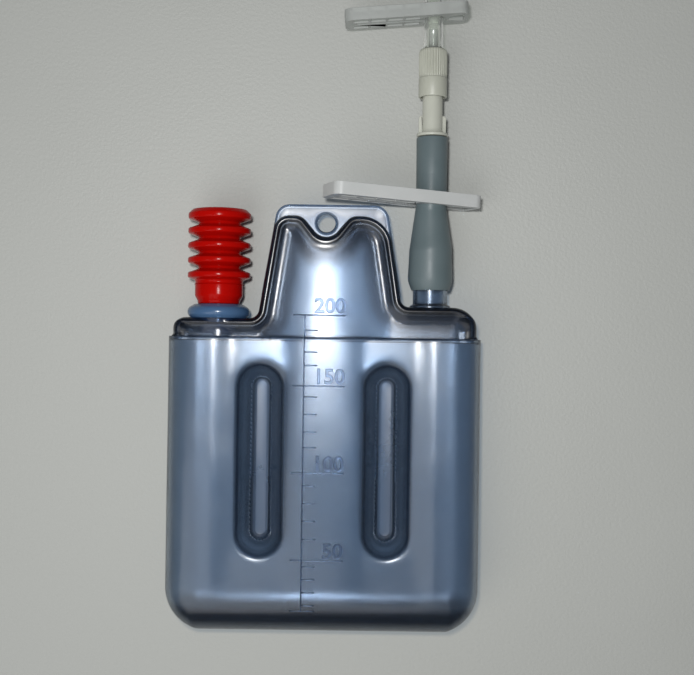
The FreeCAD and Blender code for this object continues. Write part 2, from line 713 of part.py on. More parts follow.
def slide_clamp(name, sizes, turn, x, height):
    """A frame with a keyhole: open at the tube, and a slot on the left that pinches it shut."""
    left, right, depth, rim, hole, slot = sizes
    body = new_body(name)
    half, corner = depth / 2, S["frame_corner"]
    block(body, name + "_frame", [
        (-left, -half, corner), (-left, half, corner), (right, half, corner), (right, -half, corner),
    ], rim, "XZ_Plane")
    cells = new_sketch(body, name + "_cells", "XZ_Plane", raised=rim / 2)
    rail = slot / 2 + S["frame_rail"]
    rim_in = half - S["frame_wall"]
    near = hole + S["frame_rail"]
    reach = left - S["frame_wall"] - corner / 2 - near
    step = (reach + S["frame_rib"]) / CELLS_PER_SIDE
    for number in range(CELLS_PER_SIDE):
        start = -near - step * number
        end = start - step + S["frame_rib"]
        for face in (-1, 1):
            outline(cells, [
                (start, rail * face), (start, rim_in * face), (end, rim_in * face), (end, rail * face),
            ])
    blunt = right - S["frame_wall"]
    outline(cells, [(near, -rail), (blunt, -rim_in * 0.75), (blunt, rim_in * 0.75), (near, rail)])
    sunk = pocket(body, cells, (rim - S["frame_web"]) / 2)
    mirror(body, [sunk], "XZ_Plane", name + "_far_cells")
    eye = new_sketch(body, name + "_eye", "XZ_Plane")
    circle_outline(eye, ZERO, ZERO, hole)
    pocket(body, eye)
    end = -(left - S["frame_wall"] - S["frame_rail"] - corner / 2)
    way = outline(new_sketch(body, name + "_way", "XZ_Plane"), [
        (end, -slot / 2), (end, slot / 2), (-hole * 1.6, slot / 2), (-hole * 0.5, hole * 0.84),
        (-hole * 0.5, -hole * 0.84), (-hole * 1.6, -slot / 2),
    ])
    pocket(body, way)
    place(body, x, height, S["bottle_depth"] / 2, turn)
    return body


def clamp_sizes(prefix):
    return [S[prefix + "clamp_" + key] for key in ("left", "right", "depth", "rim", "hole", "slot")]


def sleeve_clamp():
    turn = Rotation(Vector(0, 0, 1), -S["clamp_tilt"].value)
    turn = turn * Rotation(Vector(0, 1, 0), S["clamp_roll"].value)
    return slide_clamp("sleeve_clamp", clamp_sizes(""), turn, S["line_offset"], S["clamp_height"])


def tube_clamp():
    turn = Rotation(Vector(0, 0, 1), S["tube_clamp_tilt"].value)
    height = S["tube_clamp_height"]
    return slide_clamp("tube_clamp", clamp_sizes("tube_"), turn, S["line_offset"], height)


def to_flange():
    """From the right shoulder to the underside of the connector's flange."""
    return S["sleeve_start"] + S["sleeve_length"] + S["fit"]


def connector_barrel():
    """A barbed spigot, a flange with two fins, and a barrel with locking lugs at its end."""
    body = new_body("connector_barrel")
    bore, barrel, barb = S["barrel_bore"], S["barrel_radius"], S["spigot_barb"]
    spigot, high, top = S["spigot_length"] - 0.2, S["flange_height"], S["barrel_length"]
    core = barb - 0.7
    barbs = [(core - 0.4, -spigot)]
    for number in range(BARBS):
        foot = (spigot - 1.8) * number / BARBS - spigot
        barbs += [(barb, foot + 2.2), (core, foot + 2.4)]
    turned(body, "barrel_profile", [
        (0, -spigot), *barbs, (core, 0), (S["flange_radius"], 0, 0.3),
        (S["flange_radius"], high, 0.3), (barrel, high), (barrel, top), (0, top),
    ])
    block(body, "fin_plan", [
        (-S["fin_half"], high - 0.2), (-S["fin_half"], high + S["fin_height"], 1.0),
        (S["fin_half"], high + S["fin_height"], 1.0), (S["fin_half"], high - 0.2),
    ], S["fin_thick"])
    block(body, "lug_plan", [
        (-S["lug_radius"], top - 1.6), (-S["lug_radius"], top - 0.6),
        (S["lug_radius"], top - 0.6), (S["lug_radius"], top - 1.6),
    ], S["lug_thick"])
    way = new_sketch(body, "barrel_way", "XZ_Plane")
    circle_outline(way, ZERO, ZERO, bore)
    pocket(body, way)
    line_place(body, to_flange())
    return body


def luer_collar():
    """A cup over the connector's end: plain skirt, ribbed grip and a web with the tube's hole."""
    body = new_body("luer_collar")
    radius, bore, top = S["collar_radius"], S["collar_bore"], S["collar_length"]
    grip, core, web = top - S["grip_length"], radius - S["grip_rib"], top - S["collar_web"]
    hole = S["tube_radius"] + 0.3
    turned(body, "collar_profile", [
        (bore, 0), (radius, 0, 0.3), (radius, grip), (core, grip), (core, top, 0.5),
        (hole, top), (hole, web), (bore, web),
    ])
    long = S["grip_length"] - 0.8
    rib = block(body, "rib_plan", [
        (core - 0.3, -0.28), (radius, -0.2), (radius, 0.2), (core - 0.3, 0.28),
    ], long, "XZ_Plane", raised=-(grip + long / 2))
    ring = body.newObject("PartDesign::PolarPattern", "grip_ribs")
    ring.Originals = [rib]
    ring.Axis = (plane_of(body, "Y_Axis"), [""])
    ring.Angle = 360
    ring.Occurrences = GRIP_RIBS
    body.Tip = ring
    line_place(body, to_flange() + S["collar_start"])
    return body


def to_disc():
    """From the right shoulder to the underside of the disc that the collar turns on."""
    web = to_flange() + S["collar_start"] + S["collar_length"] - S["collar_web"]
    return web - S["fit"] - S["hub_disc_height"]


def luer_hub():
    """The luer cone in the connector's bore, the disc under the collar's web, and the spigot."""
    body = new_body("luer_hub")
    cone, tip, long = S["hub_cone"], S["hub_cone_tip"], S["hub_cone_length"]
    disc, high = S["hub_disc"], S["hub_disc_height"]
    spigot, up = S["hub_spigot"], S["hub_disc_height"] + S["hub_spigot_length"]
    bore, gap = S["hub_bore"], to_disc() - to_flange() - S["barrel_length"]
    turned(body, "hub_profile", [
        (bore, -gap - long), (tip, -gap - long), (cone, -gap), (cone + 0.8, -gap + 0.3),
        (cone + 0.8, 0), (disc, 0), (disc, high), (spigot, high), (spigot, up), (bore, up),
    ])
    line_place(body, to_disc())
    return body


# The cord: points chosen by hand along the tube's middle, in the upright plane over the line's axis.


def cord_points():
    """Heights from the base, and heights above the surface, with the surface's own last."""
    start = (S["shoulder_right"] + to_disc() + S["hub_disc_height"] + S["fit"]).value
    level = S["bottle_depth"].value / 2
    low = (S["tube_radius"] + S["floor_gap"]).value
    return [(start, level), (233.0, level), (266.5, low), (284.0, low)]


def cord_path(points):
    """Straight runs joined by tangent arcs, each arc as large as its two runs allow."""
    edges, radii, at = [], [], points[0]
    for before, corner, after in zip(points, points[1:], points[2:]):
        back, ahead = before - corner, after - corner
        turn = math.pi - back.getAngle(ahead)
        reach = 0.45 * min(back.Length, ahead.Length)
        radius = reach / math.tan(turn / 2)
        back.normalize()
        ahead.normalize()
        start, end = corner + back * reach, corner + ahead * reach
        middle_way = (back + ahead).normalize()
        centre = corner + middle_way * (radius / math.cos(turn / 2))
        middle = centre - middle_way * radius
        edges += [Part.LineSegment(at, start).toShape(), Part.Arc(start, middle, end).toShape()]
        radii.append(radius)
        at = end
    edges.append(Part.LineSegment(at, points[-1]).toShape())
    return Part.Wire(edges), radii


def drain_tube():
    """The tube from the hub's disc, past its clamp and down to the coil, with a bored end."""
    radius, spigot = S["tube_radius"].value, (S["hub_spigot"] + S["fit"]).value
    points = [Vector(0, y, z) for y, z in cord_points()]
    path, radii = cord_path(points)
    along = Vector(0, 1, 0)
    ring = Part.Wire(Part.makeCircle(radius, points[0], along))
    solid = Part.Solid(path.makePipeShell([ring], True, True))
    section = math.pi * radius ** 2
    print("tube radii", [round(r, 1) for r in radii], "length", round(path.Length, 1))
    print("tube volume", round(solid.Volume), "section times length", round(section * path.Length))
    socket = Part.makeCylinder(spigot, S["hub_spigot_length"].value + 0.3, points[0], along)
    tube = doc.addObject("Part::Feature", "drain_tube")
    tube.Shape = solid.cut(socket)
    tube.Placement = Placement(Vector(S["line_offset"].value, -S["back_centre"].value, 0), Rotation())
    return tube


def coil_x():
    """The coil's middle: the tube runs straight into its outermost turn."""
    return S["line_offset"] - S["coil_radius"] - S["tube_radius"] * (COIL_TURNS - 1)


def tube_coil():
    """The outer shape of the coiled length: a flat ring of turns, and part of a turn on it."""
    ring = new_body("coil_ring")
    tube, low = S["tube_radius"], S["floor_gap"]
    half = tube * COIL_TURNS
    inside, outside, high = S["coil_radius"] - half, S["coil_radius"] + half, low + tube * 2
    sketch = outline(new_sketch(ring, "ring_profile", "XZ_Plane"), [
        (inside, low), (inside, high), (outside, high), (outside, low),
    ])
    turn = ring.newObject("PartDesign::Revolution", "ring_turned")
    turn.Profile = sketch
    turn.ReferenceAxis = (sketch, ["V_Axis"])
    turn.Angle = 360
    rounded(ring, turn, lambda p: True, tube * 0.55, "ring_edges")
    upper = doc.addObject("Part::Torus", "coil_upper")
    bind(upper, "Radius1", S["coil_radius"] + tube * 0.3)
    bind(upper, "Radius2", tube)
    bind(upper, "Angle3", S["coil_top_sweep"])
    upper.Placement = Placement(Vector(), Rotation(Vector(0, 0, 1), S["coil_top_start"].value))
    bind(upper, "Placement.Base.z", high + tube * 0.9)
    whole = fused("tube_coil", ring, upper)
    place(whole, coil_x(), S["coil_height"], 0)
    return whole


def drain_adapter():
    """A stepped adapter on the tube's far end, which lies on the coil."""
    body = new_body("drain_adapter")
    socket, long, tip = S["adapter_socket"], S["adapter_length"], S["adapter_tip"]
    grip = long * 0.3
    corners = [(S["adapter_bore"], 0), (socket, 0, 0.5), (socket, grip, 0.6)]
    step = (long - grip) / ADAPTER_STEPS
    drop = (socket - 0.8 - tip) / (ADAPTER_STEPS - 1)
    for number in range(ADAPTER_STEPS):
        wide = socket - 0.8 - drop * number
        corners += [(wide, grip + step * number), (wide, grip + step * (number + 1))]
    corners += [(S["adapter_bore"], long)]
    turned(body, "adapter_profile", corners)
    far_end = coil_x() + S["coil_radius"] + S["tube_radius"] * 0.3
    height = S["floor_gap"] + S["tube_radius"] * 2 + socket + 0.3
    place(body, far_end, S["coil_height"], height)
    return body


subparts = [
    bottle(), indicator_grommet(), indicator_bellows(), drain_sleeve(), sleeve_clamp(),
    connector_barrel(), luer_collar(), luer_hub(), drain_tube(), tube_clamp(), tube_coil(),
    drain_adapter(),
]
doc.recompute()
for thing in doc.Objects:
    if "Invalid" in thing.State or "Error" in thing.State:
        raise RuntimeError(f"{thing.Name} is {thing.State}")
os.makedirs("parts", exist_ok=True)
for thing in subparts:
    shape = thing.Shape
    if shape.isNull() or not shape.isValid() or not shape.Solids:
        raise RuntimeError(f"{thing.Label} has no valid solid")
    shape.exportStep(f"parts/{thing.Label}.step")
    box = shape.BoundBox
    print(
        f"{thing.Label}: {len(shape.Solids)} solid, {shape.Volume:.0f} mm3,",
        f"x {box.XMin:.1f} {box.XMax:.1f}, y {box.YMin:.1f} {box.YMax:.1f},",
        f"z {box.ZMin:.1f} {box.ZMax:.1f}",
    )
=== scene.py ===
# %% [markdown]
# # A closed suction drain
# This is a flat, blow-moulded suction bottle that lies on its back. A red bellows on its left
# shoulder shows the vacuum. The drain line leaves the right shoulder: a grey sleeve with a white
# slide clamp, a white connector with a ribbed collar, and a clear tube with a clamp of its own.
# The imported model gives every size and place, in metres. Blender adds the looks.

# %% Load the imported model
import math
from contextlib import contextmanager
import bmesh
import bpy
import numpy as np
from mathutils import Matrix, Vector
from mathutils.geometry import delaunay_2d_cdt


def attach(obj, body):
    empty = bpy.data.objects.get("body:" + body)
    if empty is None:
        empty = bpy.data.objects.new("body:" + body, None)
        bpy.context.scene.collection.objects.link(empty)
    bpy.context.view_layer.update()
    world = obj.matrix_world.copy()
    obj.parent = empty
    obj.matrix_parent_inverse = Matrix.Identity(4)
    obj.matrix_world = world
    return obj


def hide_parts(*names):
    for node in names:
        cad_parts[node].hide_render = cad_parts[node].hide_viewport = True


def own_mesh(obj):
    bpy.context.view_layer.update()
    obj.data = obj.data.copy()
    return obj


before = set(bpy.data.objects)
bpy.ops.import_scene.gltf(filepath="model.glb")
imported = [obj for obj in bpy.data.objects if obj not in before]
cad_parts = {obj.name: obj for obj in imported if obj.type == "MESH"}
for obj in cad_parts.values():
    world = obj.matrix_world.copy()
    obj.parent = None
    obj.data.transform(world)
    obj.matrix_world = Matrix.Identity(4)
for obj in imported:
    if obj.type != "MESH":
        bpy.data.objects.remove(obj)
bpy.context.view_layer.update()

MM = 0.001

# %% [markdown]
# ## The camera
# The photograph was taken from straight above, from about 41 cm, with the object turned a little
# to the right. A camera that looks straight down sees +X to the right and +Y upwards. One
# millimetre in the bottle's middle plane is 2.82 pixels, and that gives the focal length.

# %% Camera
BACK_CENTRE = 52.0
MIDDLE = 12.5
PIXELS_PER_MM = 2.82
PHOTO_SIZE = (694, 675)
CAMERA_ABOVE = 410.0
CAMERA_AT = (7.8, 103.6)
CAMERA_TURN = 0.014


def at(x, y, z=MIDDLE):
    """A point in metres, from millimetres to the right, above the base and above the table."""
    return Vector((x, y - BACK_CENTRE, z)) * MM


camera_data = bpy.data.cameras.new("camera")
camera_data.sensor_width = 36.0
camera_data.lens = 36.0 * CAMERA_ABOVE * PIXELS_PER_MM / PHOTO_SIZE[0]
camera_data.clip_end = 20.0
camera = bpy.data.objects.new("camera", camera_data)
camera.location = at(CAMERA_AT[0], CAMERA_AT[1], MIDDLE + CAMERA_ABOVE)
camera.rotation_euler = (0.0, 0.0, CAMERA_TURN)
bpy.context.collection.objects.link(camera)
bpy.context.scene.camera = camera
print("lens, mm:", round(camera_data.lens, 1))

# %% [markdown]
# ## Light and table
# A pale table, one small soft lamp beside the camera, which gives the photograph's short shadows
# and its bright spots, and a wide lamp above that fills the shadows. The world is faint and even.

# %% Light and table
scene = bpy.context.scene
scene.view_settings.view_transform = "Standard"


def lamp(name, place, size, power, aim):
    """A round area lamp that shines from a place towards a point."""
    data = bpy.data.lights.new(name, "AREA")
    data.shape = "DISK"
    data.size = size
    data.energy = power
    item = bpy.data.objects.new(name, data)
    item.location = place
    item.rotation_euler = (aim - place).to_track_quat("-Z", "Y").to_euler()
    bpy.context.collection.objects.link(item)


aim_at = at(0, 105, 0)
lamp("key", at(CAMERA_AT[0] - 23, CAMERA_AT[1] + 35, 430), 0.03, 0.98, aim_at)
lamp("overhead", at(-320, -330, 700), 0.9, 2.9, aim_at)
world = bpy.data.worlds.new("world")
world.use_nodes = True
world.node_tree.nodes["Background"].inputs["Color"].default_value = (0.9, 0.94, 1.0, 1)
world.node_tree.nodes["Background"].inputs["Strength"].default_value = 0.10
scene.world = world

# %% [markdown]
# ## Finishes shared by several pieces
# Moulded plastic and rubber are never perfectly even: the surface waves a little, carries a fine
# grain from the mould, and its gloss changes where hands have rubbed it. One node group makes
# those three effects, and each material places it with its own values.

# %% Node group for moulded surfaces
GROUP_INPUTS = {
    "Colour": (0.8, 0.8, 0.8, 1), "Deep Colour": (0.6, 0.6, 0.6, 1), "Patch Scale": 90.0,
    "Grain Scale": 2500.0, "Grain Height": 0.1, "Gloss Low": 0.3, "Gloss High": 0.5}
GROUP_OUTPUTS = {"Colour": (0.8, 0.8, 0.8, 1), "Roughness": 0.5, "Height": 0.0}


def node(tree, kind, **values):
    """Adds a node. A value goes to a property of that name, or else to the input of that name."""
    item = tree.nodes.new(kind)
    for name, value in values.items():
        if hasattr(item, name):
            setattr(item, name, value)
        else:
            item.inputs[name.replace("_", " ")].default_value = value
    return item


def moulded_group():
    """The group itself: a colour, a roughness and a height for the bump."""
    tree = bpy.data.node_groups.new("moulded surface", "ShaderNodeTree")
    for way, sockets in (("INPUT", GROUP_INPUTS), ("OUTPUT", GROUP_OUTPUTS)):
        for name, value in sockets.items():
            kind = "NodeSocketColor" if isinstance(value, tuple) else "NodeSocketFloat"
            item = tree.interface.new_socket(name=name, in_out=way, socket_type=kind)
            item.default_value = value
    source = tree.nodes.new("NodeGroupInput").outputs
    result = tree.nodes.new("NodeGroupOutput").inputs
    place = node(tree, "ShaderNodeTexCoord")
    patches = node(tree, "ShaderNodeTexNoise", Detail=3.0, Roughness=0.55)
    grain = node(tree, "ShaderNodeTexNoise", Detail=2.0, Roughness=0.6)
    mix = node(tree, "ShaderNodeMix", data_type="RGBA")
    gloss = node(tree, "ShaderNodeMapRange", From_Min=0.3, From_Max=0.7)
    height = node(tree, "ShaderNodeMath", operation="MULTIPLY")
    for start, end in (
            (place.outputs["Object"], patches.inputs["Vector"]),
            (place.outputs["Object"], grain.inputs["Vector"]),
            (source["Patch Scale"], patches.inputs["Scale"]),
            (source["Grain Scale"], grain.inputs["Scale"]),
            (patches.outputs["Fac"], mix.inputs[0]), (source["Deep Colour"], mix.inputs[6]),
            (source["Colour"], mix.inputs[7]), (patches.outputs["Fac"], gloss.inputs["Value"]),
            (source["Gloss Low"], gloss.inputs["To Min"]),
            (source["Gloss High"], gloss.inputs["To Max"]),
            (grain.outputs["Fac"], height.inputs[0]), (source["Grain Height"], height.inputs[1]),
            (mix.outputs[2], result["Colour"]), (gloss.outputs["Result"], result["Roughness"]),
            (height.outputs["Value"], result["Height"])):
        tree.links.new(start, end)
    return tree


moulded = moulded_group()
print("inputs:", [s.name for s in moulded.interface.items_tree if s.in_out == "INPUT"])

# %% [markdown]
# A material is one Principled shader fed by that group. Clear pieces add Transmission Weight, and
# let the light through to the table: a shadow ray, or one that comes back up from the table, meets
# a tinted transparent shader instead, because bent light is too slow to gather in a small render.
# Where a clear wall is seen edge on it is darker: a little of that is the longer path through the
# plastic, most of it is painted shade.

# %% Material maker
def moulded_material(name, colour, deep, gloss, grain=0.1, grain_scale=2500.0, patch=90.0,
                     bump=0.00005, clear=0.0, ior=1.46, shine=0.5, shadow=None, edge=None,
                     subsurface=0.0):
    """A Principled material on the moulded surface; edge is a painted shade colour, laid on where a
    wall is seen edge on and where the mesh's wall values are high.
    """
    material = bpy.data.materials.new(name)
    material.use_nodes = True
    tree = material.node_tree
    link = tree.links.new
    shader = tree.nodes["Principled BSDF"]
    surface = node(
        tree, "ShaderNodeGroup", node_tree=moulded, Colour=(*colour, 1), Deep_Colour=(*deep, 1),
        Patch_Scale=patch, Grain_Scale=grain_scale, Grain_Height=grain, Gloss_Low=gloss[0],
        Gloss_High=gloss[1])
    relief = node(tree, "ShaderNodeBump", Distance=bump, Strength=1.0)
    tint = surface.outputs["Colour"]
    # Painted shade: the tint goes towards edge where the surface is seen edge on, and where the
    # mesh's painted wall values are high.
    if edge:
        facing = node(tree, "ShaderNodeLayerWeight", Blend=0.5)
        steep = node(tree, "ShaderNodeMapRange", From_Min=0.3, From_Max=1.0)
        thick = node(tree, "ShaderNodeAttribute", attribute_name="wall")
        most = node(tree, "ShaderNodeMath", operation="MAXIMUM")
        deeper = node(tree, "ShaderNodeMix", data_type="RGBA")
        deeper.inputs[7].default_value = (*edge, 1)
        link(facing.outputs["Facing"], steep.inputs["Value"])
        link(steep.outputs["Result"], most.inputs[0])
        link(thick.outputs["Fac"], most.inputs[1])
        link(most.outputs["Value"], deeper.inputs[0])
        link(tint, deeper.inputs[6])
        tint = deeper.outputs[2]
    link(tint, shader.inputs["Base Color"])
    link(surface.outputs["Roughness"], shader.inputs["Roughness"])
    link(surface.outputs["Height"], relief.inputs["Height"])
    link(relief.outputs["Normal"], shader.inputs["Normal"])
    for name, value in {
            "IOR": ior, "Transmission Weight": clear, "Specular IOR Level": shine,
            "Subsurface Weight": subsurface, "Subsurface Radius": (0.004, 0.004, 0.004),
            "Subsurface Scale": 0.3}.items():
        shader.inputs[name].default_value = value
    if shadow:
        path = node(tree, "ShaderNodeLightPath")
        through = node(tree, "ShaderNodeBsdfTransparent", Color=(*shadow, 1))
        either = node(tree, "ShaderNodeMixShader")
        back_up = node(tree, "ShaderNodeMath", operation="MAXIMUM")
        link(path.outputs["Is Shadow Ray"], back_up.inputs[0])
        link(path.outputs["Is Diffuse Ray"], back_up.inputs[1])
        link(back_up.outputs["Value"], either.inputs["Fac"])
        link(shader.outputs["BSDF"], either.inputs[1])
        link(through.outputs["BSDF"], either.inputs[2])
        link(either.outputs["Shader"], tree.nodes["Material Output"].inputs["Surface"])
    return material


# %% [markdown]
# Each finish has a slot name, which this script doesn't read, a name, a light and a deep colour,
# its least and most roughness, and the values that only it needs. The bottle's two finishes share
# theirs.

# %% Finishes
# The edge colour is painted shade for the bottle's edge-on walls and for the bands and lines of its
# wall values.
BOTTLE_PLASTIC = dict(
    grain=0.2, grain_scale=900.0, patch=60.0, clear=0.98, ior=1.45, edge=(0.02, 0.035, 0.07))
FINISHES = {
    "bottle": (
        "bottle_clear", "clear blue bottle plastic", (0.54, 0.62, 0.72), (0.50, 0.59, 0.70),
        (0.20, 0.26), dict(BOTTLE_PLASTIC, shadow=(0.71, 0.76, 0.82))),
    "double wall": (
        "bottle_clear", "pinched double wall", (0.31, 0.40, 0.54), (0.28, 0.37, 0.51),
        (0.26, 0.34), dict(BOTTLE_PLASTIC, shadow=(0.56, 0.63, 0.73))),
    "bellows": (
        "bellows_red", "red bellows rubber", (0.50, 0.004, 0.002), (0.40, 0.002, 0.001),
        (0.15, 0.20), dict(grain=0.3, subsurface=0.05, shine=0.1)),
    "grommet": (
        "grommet_blue", "blue grommet rubber", (0.10, 0.20, 0.36), (0.07, 0.15, 0.30),
        (0.16, 0.25), dict(grain=0.3, clear=0.25, shadow=(0.2, 0.3, 0.4))),
    "sleeve": (
        "sleeve_grey", "grey sleeve rubber", (0.15, 0.19, 0.20), (0.11, 0.15, 0.16),
        (0.35, 0.5), dict(grain=0.5, grain_scale=1400.0)),
    "white clamp": (
        "clamp_white", "white clamp plastic", (0.62, 0.63, 0.62), (0.55, 0.57, 0.56),
        (0.35, 0.5), dict(subsurface=0.2)),
    "connector": (
        "connector_white", "ivory connector plastic", (0.60, 0.61, 0.53), (0.53, 0.54, 0.47),
        (0.28, 0.4), dict(subsurface=0.2)),
    "collar": (
        "collar_white", "ivory collar plastic", (0.52, 0.53, 0.45), (0.46, 0.47, 0.40),
        (0.3, 0.45), dict(subsurface=0.2)),
    "hub": (
        "hub_clear", "clear hub plastic", (0.80, 0.82, 0.80), (0.75, 0.78, 0.76),
        (0.12, 0.2), dict(clear=0.8, shadow=(0.85, 0.87, 0.86))),
    "tube": (
        "tube_clear", "clear tube plastic", (0.86, 0.88, 0.83), (0.80, 0.83, 0.78),
        (0.12, 0.22), dict(clear=0.85, ior=1.42, shadow=(0.86, 0.88, 0.86))),
    "frosted clamp": (
        "clamp_frosted", "frosted clamp plastic", (0.60, 0.62, 0.60), (0.52, 0.54, 0.52),
        (0.4, 0.55), dict(clear=0.45, shadow=(0.6, 0.62, 0.6))),
    "adapter": (
        "adapter_clear", "clear adapter plastic", (0.78, 0.81, 0.79), (0.72, 0.75, 0.73),
        (0.15, 0.25), dict(clear=0.7, shadow=(0.8, 0.82, 0.81))),
}
finish = {key: moulded_material(*row[1:5], **row[5]) for key, row in FINISHES.items()}
print("finishes:", len(finish))

# %% [markdown]
# The table is a pale sheet with the fine pebble of a laminate. It isn't part of the object.

# %% Table
TABLE_HALF = 3.0
TABLE_BELOW = 0.0002


def table_top():
    """The table, a hair below the object's lowest points."""
    corners = [(x * TABLE_HALF, y * TABLE_HALF, 0) for x, y in ((-1, -1), (1, -1), (1, 1), (-1, 1))]
    data = bpy.data.meshes.new("table")
    data.from_pydata(corners, [], [(0, 1, 2, 3)])
    data.materials.append(moulded_material(
        "pale table laminate", (0.52, 0.53, 0.50), (0.49, 0.50, 0.47), (0.45, 0.6), grain=0.6,
        grain_scale=800.0, patch=12.0, bump=0.00025))
    item = bpy.data.objects.new("table", data)
    item.location.z = -TABLE_BELOW
    bpy.context.collection.objects.link(item)


table_top()
print("table top at", -TABLE_BELOW, "m")

# %% [markdown]
# ## Building blocks
# Most pieces here are turned or blown, so their outlines are straight runs with rounded corners.
# The helper takes corners with a radius each and returns points along the rounded outline. The
# others join two rings of points, put a mesh in the scene, and open one for changes.

# %% Rounded outlines and new pieces
def rounded_path(corners, arc_step=0.5, run_step=None):
    """Points along a closed outline in millimetres, from corners (x, y) or (x, y, radius)."""
    spots = [Vector(corner[:2]) for corner in corners]
    points = []
    for number, corner in enumerate(corners):
        here = spots[number]
        radius = corner[2] if len(corner) > 2 else 0.0
        if radius <= 0:
            points.append(here)
            continue
        back = (spots[number - 1] - here).normalized()
        ahead = (spots[(number + 1) % len(spots)] - here).normalized()
        half_turn = (math.pi - back.angle(ahead)) / 2
        reach = radius * math.tan(half_turn)
        centre = here + (back + ahead).normalized() * (radius / math.cos(half_turn))
        start, end = here + back * reach - centre, here + ahead * reach - centre
        steps = max(2, math.ceil(2 * half_turn * radius / arc_step))
        sweep = start.angle_signed(end)
        for step in range(steps + 1):
            points.append(centre + Matrix.Rotation(-sweep * step / steps, 2) @ start)
    if run_step is None:
        return points
    dense = []
    for here, there in zip(points, points[1:] + points[:1]):
        steps = max(1, math.ceil((there - here).length / run_step))
        dense += [here.lerp(there, step / steps) for step in range(steps)]
    return dense


def band(first, second):
    """Faces between two rings of point numbers."""
    return [(first[n - 1], first[n], second[n], second[n - 1]) for n in range(len(first))]


def add_piece(name, data, kind, body):
    """Puts a mesh in the scene with a kind of finish, riding on a body."""
    data.materials.append(finish[kind])
    item = bpy.data.objects.new(name, data)
    bpy.context.collection.objects.link(item)
    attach(item, body)
    print(name, len(data.vertices), "points")
    return item


def new_piece(name, verts, faces, kind, body, *replaced):
    """A mesh piece in metres that rides on a body and stands for some nodes of the frame."""
    data = bpy.data.meshes.new(name)
    data.from_pydata([tuple(vert) for vert in verts], [], faces)
    data.validate()
    data.shade_smooth()
    item = add_piece(name, data, kind, body)
    if replaced:
        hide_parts(*replaced)
    return item


@contextmanager
def opened(data):
    """Opens a mesh for changes and writes it back."""
    mesh = bmesh.new()
    mesh.from_mesh(data)
    yield mesh
    mesh.to_mesh(data)
    mesh.free()


print("a corner of radius 3 has", len(rounded_path([(0, 0), (9, 0, 3), (9, 9)])) - 2, "points")

# %% [markdown]
# ## The bottle
# The real bottle is one blown shell of clear plastic with a wall of about 1.3 mm. Every surface of
# its front is a height above the middle plane, so the front can be worked out as a height map: for
# each point, how far it lies inside an outline gives the rolled edge. The same sum with a smaller
# outline gives the inner wall, and the back is the front mirrored.

# %% The bottle's sizes, in millimetres
WALL = 1.3
HALF_WIDTH = 55.0
LEDGE = 103.4
BODY = {"face": 12.5, "roll": 10.0, "foot_roll": 12.5, "corner": 15.5}
UPPER = {"face": 10.9, "roll": 4.5, "side_roll": 8.4, "half": 53.4}
HUMP = {"middle": 2.0, "half": 19.5, "top": 146.0, "lean": math.tan(math.radians(9.5))}
HOLE = Vector((0.0, 143.9))
HOLE_RADIUS = 3.2
HOLE_TURNS = np.arange(0, 2 * math.pi, 0.6 / HOLE_RADIUS)
TAB = {"top": 150.4, "foot": 118.0, "half": 1.5, "seam": 0.5}
PILLARS = (-22.0, 22.0)
PILLAR_ENDS = (35.35, 86.05)
PILLAR = {"web": 1.0, "floor": 2.9, "slope": 1 / math.tan(math.radians(25.4))}
SEAT = {"x": -37.8, "radius": 9.5, "top": 110.0}
STUB = {"x": 37.0, "radius": 7.2, "top": 114.5}
DIP_RADIUS = 5.2
DIP_SLOPE = math.radians(50)


def across_slope(inset):
    """How far a pillar's sloping flank moves sideways for an inset."""
    return inset / math.cos(math.atan(1 / PILLAR["slope"]))


def hump_side(height):
    """Half the hump's width at a height above the base."""
    return HUMP["half"] + (HUMP["top"] - height) * HUMP["lean"]


def upper_corners(inset):
    """Corners of the shoulders and the hump, drawn in by an inset."""
    half = UPPER["half"] - inset
    left, right, top = SEAT["top"] - inset, STUB["top"] - inset, HUMP["top"] - inset
    lean_in = inset * math.hypot(1.0, HUMP["lean"])
    dip = HOLE.y - (DIP_RADIUS + inset) / math.cos(DIP_SLOPE)
    inner = (top - dip) / math.tan(DIP_SLOPE)
    middle = HUMP["middle"]
    return [
        (-half, left, 5.0 - inset),
        (middle - hump_side(left) + lean_in, left, 3.0 + inset),
        (middle - hump_side(top) + lean_in, top, 5.5 - inset),
        (-inner, top, 5.0 - inset),
        (0.0, dip, DIP_RADIUS + inset),
        (inner, top, 5.0 - inset),
        (middle + hump_side(top) - lean_in, top, 11.0 - inset),
        (middle + hump_side(right) - lean_in, right, 3.0 + inset),
        (half, right, 8.8 - inset),
    ]


def body_corners(inset):
    """Corners of the body below the ledge, drawn in by an inset."""
    half, corner = HALF_WIDTH - inset, BODY["corner"] - inset
    return [(half, inset, corner), (-half, inset, corner)]


def tab_corners():
    """The hanger tab and the pinched seam beside the hump."""
    middle, foot, top, seam = HUMP["middle"], TAB["foot"], TAB["top"], TAB["seam"]
    return [
        (middle - hump_side(foot), foot, 0.0), (middle - hump_side(foot) - seam, foot, 0.2),
        (middle - hump_side(top) - seam, top, 5.0), (middle + hump_side(top) + seam, top, 5.0),
        (middle + hump_side(foot) + seam, foot, 0.2), (middle + hump_side(foot), foot, 0.0),
    ]


def whole_outline():
    """The silhouette of the bottle: body, ledge, shoulders, seam and tab."""
    upper = upper_corners(0.0)
    ledge = [(-HALF_WIDTH, LEDGE, 0.3), (-UPPER["half"], LEDGE, 0.0)]
    right_ledge = [(UPPER["half"], LEDGE, 0.0), (HALF_WIDTH, LEDGE, 0.3)]
    return rounded_path(
        ledge + upper[:2] + tab_corners() + upper[-2:] + right_ledge + body_corners(0.0),
        run_step=1.4)


